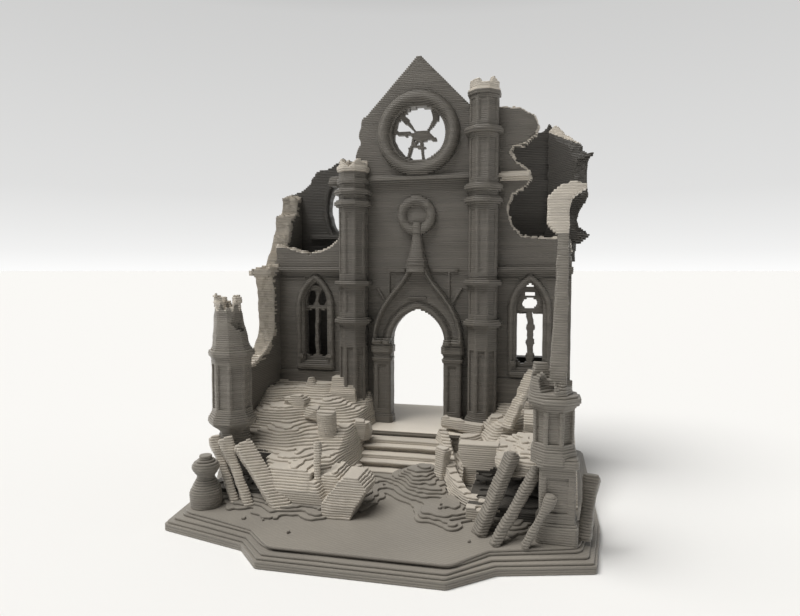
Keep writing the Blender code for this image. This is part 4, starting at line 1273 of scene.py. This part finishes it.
# Centre, half size, seed and, where it isn't the usual one, number of faces of the rocks in each heap
LEFT_ROCKS = (
    ((-14.6, 1.4, 10.9), (1.6, 1.4, 1.2), 90),
    ((-18.9, 4.2, 12.0), (1.9, 1.5, 1.2), 91),
    ((-19.0, 10.9, 13.6), (0.9, 0.9, 1.5), 89, 14),
    ((-7.3, 3.6, 8.0), (1.4, 1.6, 1.9), 96),
    ((-6.3, -3.6, 3.2), (1.1, 1.3, 1.5), 97),
)
RIGHT_ROCKS = (
    ((20.6, 2.6, 10.6), (2.4, 2.2, 2.2), 93),
    ((13.7, 8.4, 9.0), (1.5, 1.3, 1.7), 94),
    ((10.2, 3.4, 7.0), (1.7, 1.5, 1.6), 99),
)


def left_heap_solid(x, y, z):
    """The left heap with a wedge, a ridge, a drum, a tilted slab and a lump half buried in it."""
    field = (z - left_heap_height(x, y)) * 0.75
    wedge = common(outline(x, z, [(-10.6, 1.0), (-9.2, 1.0), (-9.3, 6.6), (-12.0, 7.1), (-15.9, 6.9)]),
                   -13.3 - (7.2 - z) * 0.9 - y, y + 9.0)
    ridge = beam(x, y, z, (-7.9, -15.4, 2.0), (-9.6, -10.6, 9.9), 0.9, 1.2, 0.3, 0, 0.25)
    shoulder = common(outline(x, z, [(-9.4, 1.0), (-5.4, 1.0), (-5.0, 5.2), (-6.4, 6.6), (-9.2, 5.8)]),
                      -12.7 - (6.8 - z) * 0.55 - y, y + 8.0)
    drum = common(circle(x + 0.06 * z, y, -10.7, -2.0) - 1.5, z - 12.3 - 0.25 * (y + 2))
    slope = (z - 15.4 - 1.45 * (y - 10.4)) * 0.6
    tilted = common(slab(x + 0.12 * (z - 14), -14.8, -10.3), z - 15.4, slope, 8.6 - y)
    lumps = [rock(x, y, z, *lump) for lump in LEFT_ROCKS]
    hollow = common(x + 12.0 + (z - 2) * 1.1, y + 8.5)
    pit = common(slab(x, -24.4, -14.0), slab(y, -14.2, -7.5), z - 3.7 - 0.4 * noise(x, y, 0, 1.5, 79))
    body = join(without(blend(field, join(*lumps), 0.4), hollow), pit)
    worn = 0.1 * noise(x, y, z, 0.8, 98)
    return common(join(body, wedge + worn, shoulder + worn, ridge + worn, drum, tilted),
                  slab(x, -25.8, -4.2), y - FRONT_Y - 0.1)


# Course of the rib from front to back, as y, x and height, and the fallen roof's outline, as y and z
RIB = [(-13.2, 13.9, 3.5), (-10.5, 11.5, 4.3), (-8.0, 9.9, 4.9), (-4.0, 8.4, 5.4), (1.0, 7.2, 6.4),
       (5.0, 5.9, 8.0), (6.3, 5.4, 8.4)]
ROOF = [(-13.8, 7.8), (-12.2, 10.0), (-9.0, 11.0), (-5.0, 10.6), (-1.0, 10.4), (-1.0, 7.8)]


def right_heap_solid(x, y, z):
    """The right heap with a fallen roof, rocks, a curved rib, a curb by the stairs and a board."""
    field = (z - right_heap_height(x, y)) * 0.75
    top = 0.9 * (z - 9.2 - 0.4 * (x - 15.0))
    roof = common(outline(y, z, ROOF), slab(x, 15.0 - 0.1 * (y + 6.0), 21.9), top)
    roof = roof + 0.5 * noise(x, y, z, 1.9, 87) + 0.2 * noise(x, y, z, 0.8, 88)
    lumps = [rock(x, y, z, *lump) for lump in RIGHT_ROCKS]
    cavity = common(slab(x, 9.9, 22.0), y + 1.4, z - 7.8)
    pit = common(slab(x, 11.6, 21.6), slab(y, -14.0, -1.0), z - 3.9 - 0.4 * noise(x, y, 0, 1.5, 78))
    body = join(without(blend(field, join(roof, *lumps), 0.4), cavity), pit)
    along, across, height = zip(*RIB)
    path = np.interp(y, along, across)
    crest = np.interp(y, along, height)
    rib = common(np.abs(x - path) - 1.1 + 0.3 * (z - crest + 1.5), z - crest, slab(y, -13.2, 6.3), 2.0 - z)
    curb = beam(x, y, z, (6.4, -3.6, 2.0), (7.0, -2.6, 8.0), 1.9, 1.5, 0.4, 8, 0.2)
    board = beam(x, y, z, (15.8, 3.0, 9.8), (19.6, 9.2, 18.0), 2.0, 1.0, 0.25, 10)
    worn = 0.12 * noise(x, y, z, 0.9, 95)
    return common(join(body, rib + worn, curb, board + 2 * worn), slab(x, 4.2, 25.8), y - FRONT_Y - 0.1)


def knobbly(solid, x, y, z, seed, amount):
    """A solid with the lumps of a carved and badly printed surface."""
    return solid + amount * noise(x, y, z, 1.3, seed) + 0.5 * amount * noise(x, y, z, 0.6, seed + 1)


def make_heaps():
    """Both heaps, with painted shade in the hollows behind the boards and the planks."""
    def painted_shade_behind_boards(x, y, z):
        return -common(x + 12.6 + (z - 2) * 1.1, y + 8.0, z - 8.1)

    def painted_shade_behind_planks(x, y, z):
        along, across, _ = zip(*RIB)
        return -common(slab(x, 11.8, 22.0), y + 1.0, z - 8.1, np.interp(y, along, across) + 1.3 - x)

    left_box = ((-26, -15.5, GROUND_Z), (-3.5, FRONT_Y + 0.1, 17.5))
    right_box = ((4.0, -15.2, GROUND_Z), (26.0, FRONT_Y + 0.1, 19.5))
    printed("printed_left_heap", ["left_rubble_heap", "left_rubble_bank"], left_heap_solid,
            box=left_box, grid=0.17, painted_light=painted_shade_behind_boards, painted_copy="inner")
    printed("printed_right_heap", ["right_rubble_heap", "right_rubble_bank"], right_heap_solid,
            box=right_box, grid=0.17, painted_light=painted_shade_behind_planks, painted_copy="inner")


# Foot, head, width, thickness, spin in degrees and flare of the bars
BOARDS = {
    "left_board_1": ((-11.9, -16.6, 2.0), (-20.2, -12.4, 9.5), 2.4, 1.4, 20, 0.1),
    "left_board_2": ((-17.1, -16.2, 2.0), (-22.9, -12.4, 10.0), 1.3, 1.1, 20, 0.7),
    "left_board_3": ((-19.5, -15.7, 2.0), (-24.7, -12.2, 10.2), 1.2, 1.1, 20, 0.4),
    "right_plank_1": ((13.5, -17.6, 2.0), (17.4, -12.6, 10.9), 2.3, 1.3, 25, 0.15),
    "right_plank_2": ((15.5, -20.0, 2.0), (20.5, -14.8, 9.9), 1.5, 1.1, 25, 0.2),
    "right_plank_3": ((19.0, -19.8, 2.0), (22.2, -18.5, 8.0), 1.0, 0.9, 25, 0.5),
    "corner_post": ((25.9, -16.2, 2.0), (27.0, -12.2, 8.6), 1.5, 1.4, 0, 0.35),
    "fallen_log": ((5.0, 8.9, 9.0), (12.0, 6.8, 8.2), 1.7, 1.7, 10, 0.1),
}


def stump_solid(x, y, z):
    """The turned foot of a baluster by the left pillar."""
    radius = profile(z, [(2.0, 2.15), (4.2, 2.1), (4.9, 1.75), (5.9, 1.15), (6.3, 1.1), (6.9, 1.6),
                         (7.5, 1.85), (8.1, 1.5), (8.4, 0.9)])
    return circle(x, y, -23.4, -16.6) - radius + 0.1 * noise(x, y, z, 1.0, 130)


def slab_solid(x, y, z):
    """The carved slab that leans back on the left heap's foot."""
    points = [(-5.9, 1.5), (-2.9, 1.5), (-2.2, 3.6), (-0.7, 5.7), (-1.2, 6.3), (-2.2, 7.2), (-4.1, 7.2),
              (-6.9, 3.7), (-6.6, 2.4)]
    lean = y + 17.4 - 0.30 * (z - 2)
    body = common(outline(x, z, points), -lean, y + 11.5)
    return knobbly(body, x, y, z, 132, 0.12)


def rounded_block_solid(x, y, z):
    """The fallen block with a rounded underside, by the roof."""
    points = [(10.4, 6.7), (11.4, 6.2), (13.7, 6.2), (14.7, 6.9), (15.2, 8.4), (15.2, 9.8), (9.6, 9.8),
              (9.7, 8.0)]
    return common(outline(x, z, points) + 0.2, slab(y, -6.6, -4.4) + 0.2) - 0.2


def make_rubble():
    """Boards, planks, the stump, the log and the blocks that lie in front of the heaps."""
    for number, (node, bar) in enumerate(BOARDS.items()):
        def solid(x, y, z, bar=bar, number=number):
            foot, head, width, thick, spin, flare = bar
            body = beam(x, y, z, foot, head, width, thick, 0.35, spin, flare)
            return knobbly(body, x, y, z, 100 + 3 * number, 0.08)
        low = [min(bar[0][k], bar[1][k]) - 2.2 for k in range(3)]
        high = [max(bar[0][k], bar[1][k]) + 2.2 for k in range(3)]
        low[2] = max(low[2], GROUND_Z)
        printed(f"printed_{node}", [node], solid, box=(low, high), grid=FINE)

    printed("printed_stump", ["baluster_stump"], stump_solid, margin=0.8, grid=FINE)
    printed("printed_fallen_slab", ["fallen_slab"], slab_solid,
            box=((-8, -18.5, GROUND_Z), (0.5, -11, 7.8)), grid=0.14)
    printed("printed_rounded_block", ["rounded_block"], rounded_block_solid,
            box=((9, -7, 5.4), (16.2, -2, 10.2)), grid=0.14)


make_plinth()
make_stairs()
make_centre()
make_bays()
make_columns()
make_outer_walls()
make_pillars()
make_heaps()
make_rubble()


# ---------------------------------------------------------------- studio and camera


def make_floor():
    """A wide sheet of pale paper."""
    half = PAPER_HALF_SIZE
    mesh = bpy.data.meshes.new("floor")
    corners = [(-half, -half, 0), (half, -half, 0), (half, half, 0), (-half, half, 0)]
    mesh.from_pydata(corners, [], [(0, 1, 2, 3)])
    floor = bpy.data.objects.new("floor", mesh)
    bpy.context.scene.collection.objects.link(floor)
    paper = bpy.data.materials.new("white_paper")
    paper.use_nodes = True
    inputs = {"Base Color": PAPER_GREY, "Roughness": 0.85, "Specular IOR Level": 0.0}
    feed(paper.node_tree, paper.node_tree.nodes["Principled BSDF"], inputs)
    mesh.materials.append(paper)


def make_sky():
    """A soft sky that is brightest at the horizon and dimmer in front of the ruin."""
    world = bpy.data.worlds.new("studio")
    bpy.context.scene.world = world
    world.use_nodes = True
    tree = world.node_tree
    place = tree.nodes.new("ShaderNodeTexCoord").outputs["Generated"]
    split = add_node(tree, "ShaderNodeSeparateXYZ", {"Vector": place})
    ramp = add_node(tree, "ShaderNodeValToRGB", {"Fac": split.outputs["Z"]})
    stops = ramp.color_ramp.elements
    while len(stops) < len(SKY):
        stops.new(0.5)
    for stop, (height, grey) in zip(stops, SKY):
        stop.position = height
        stop.color = (grey, grey, grey * 0.995, 1.0)
    strength = map_range(tree, split.outputs["Y"], -0.35, 0.35, FRONT_SKY, 1.0)
    feed(tree, tree.nodes["Background"], {"Color": ramp.outputs["Color"], "Strength": strength})


def make_overhead():
    """The wide soft light above the ruin."""
    light = bpy.data.lights.new("overhead", "SUN")
    light.energy = OVERHEAD_POWER
    light.angle = math.radians(OVERHEAD_SPREAD)
    light.color = OVERHEAD_COLOUR
    sun = bpy.data.objects.new("overhead", light)
    bpy.context.scene.collection.objects.link(sun)
    sun.rotation_euler = (-Vector(OVERHEAD_FROM)).to_track_quat("-Z", "Y").to_euler()


def make_camera():
    """A camera before the right half, halfway up the ruin, that looks a little down and to the left."""
    lens = bpy.data.cameras.new("camera")
    lens.sensor_width = 36.0
    lens.lens = LENS
    lens.clip_start = 0.005
    lens.clip_end = 20.0
    camera = bpy.data.objects.new("camera", lens)
    bpy.context.scene.collection.objects.link(camera)
    camera.location = CAMERA_PLACE
    camera.rotation_euler = (math.radians(90 - CAMERA_DOWN), 0.0, math.radians(CAMERA_TURN))
    bpy.context.scene.camera = camera


make_floor()
make_sky()
make_overhead()
make_camera()
bpy.context.scene.view_settings.view_transform = "Standard"
bpy.context.scene.view_settings.gamma = VIEW_GAMMA
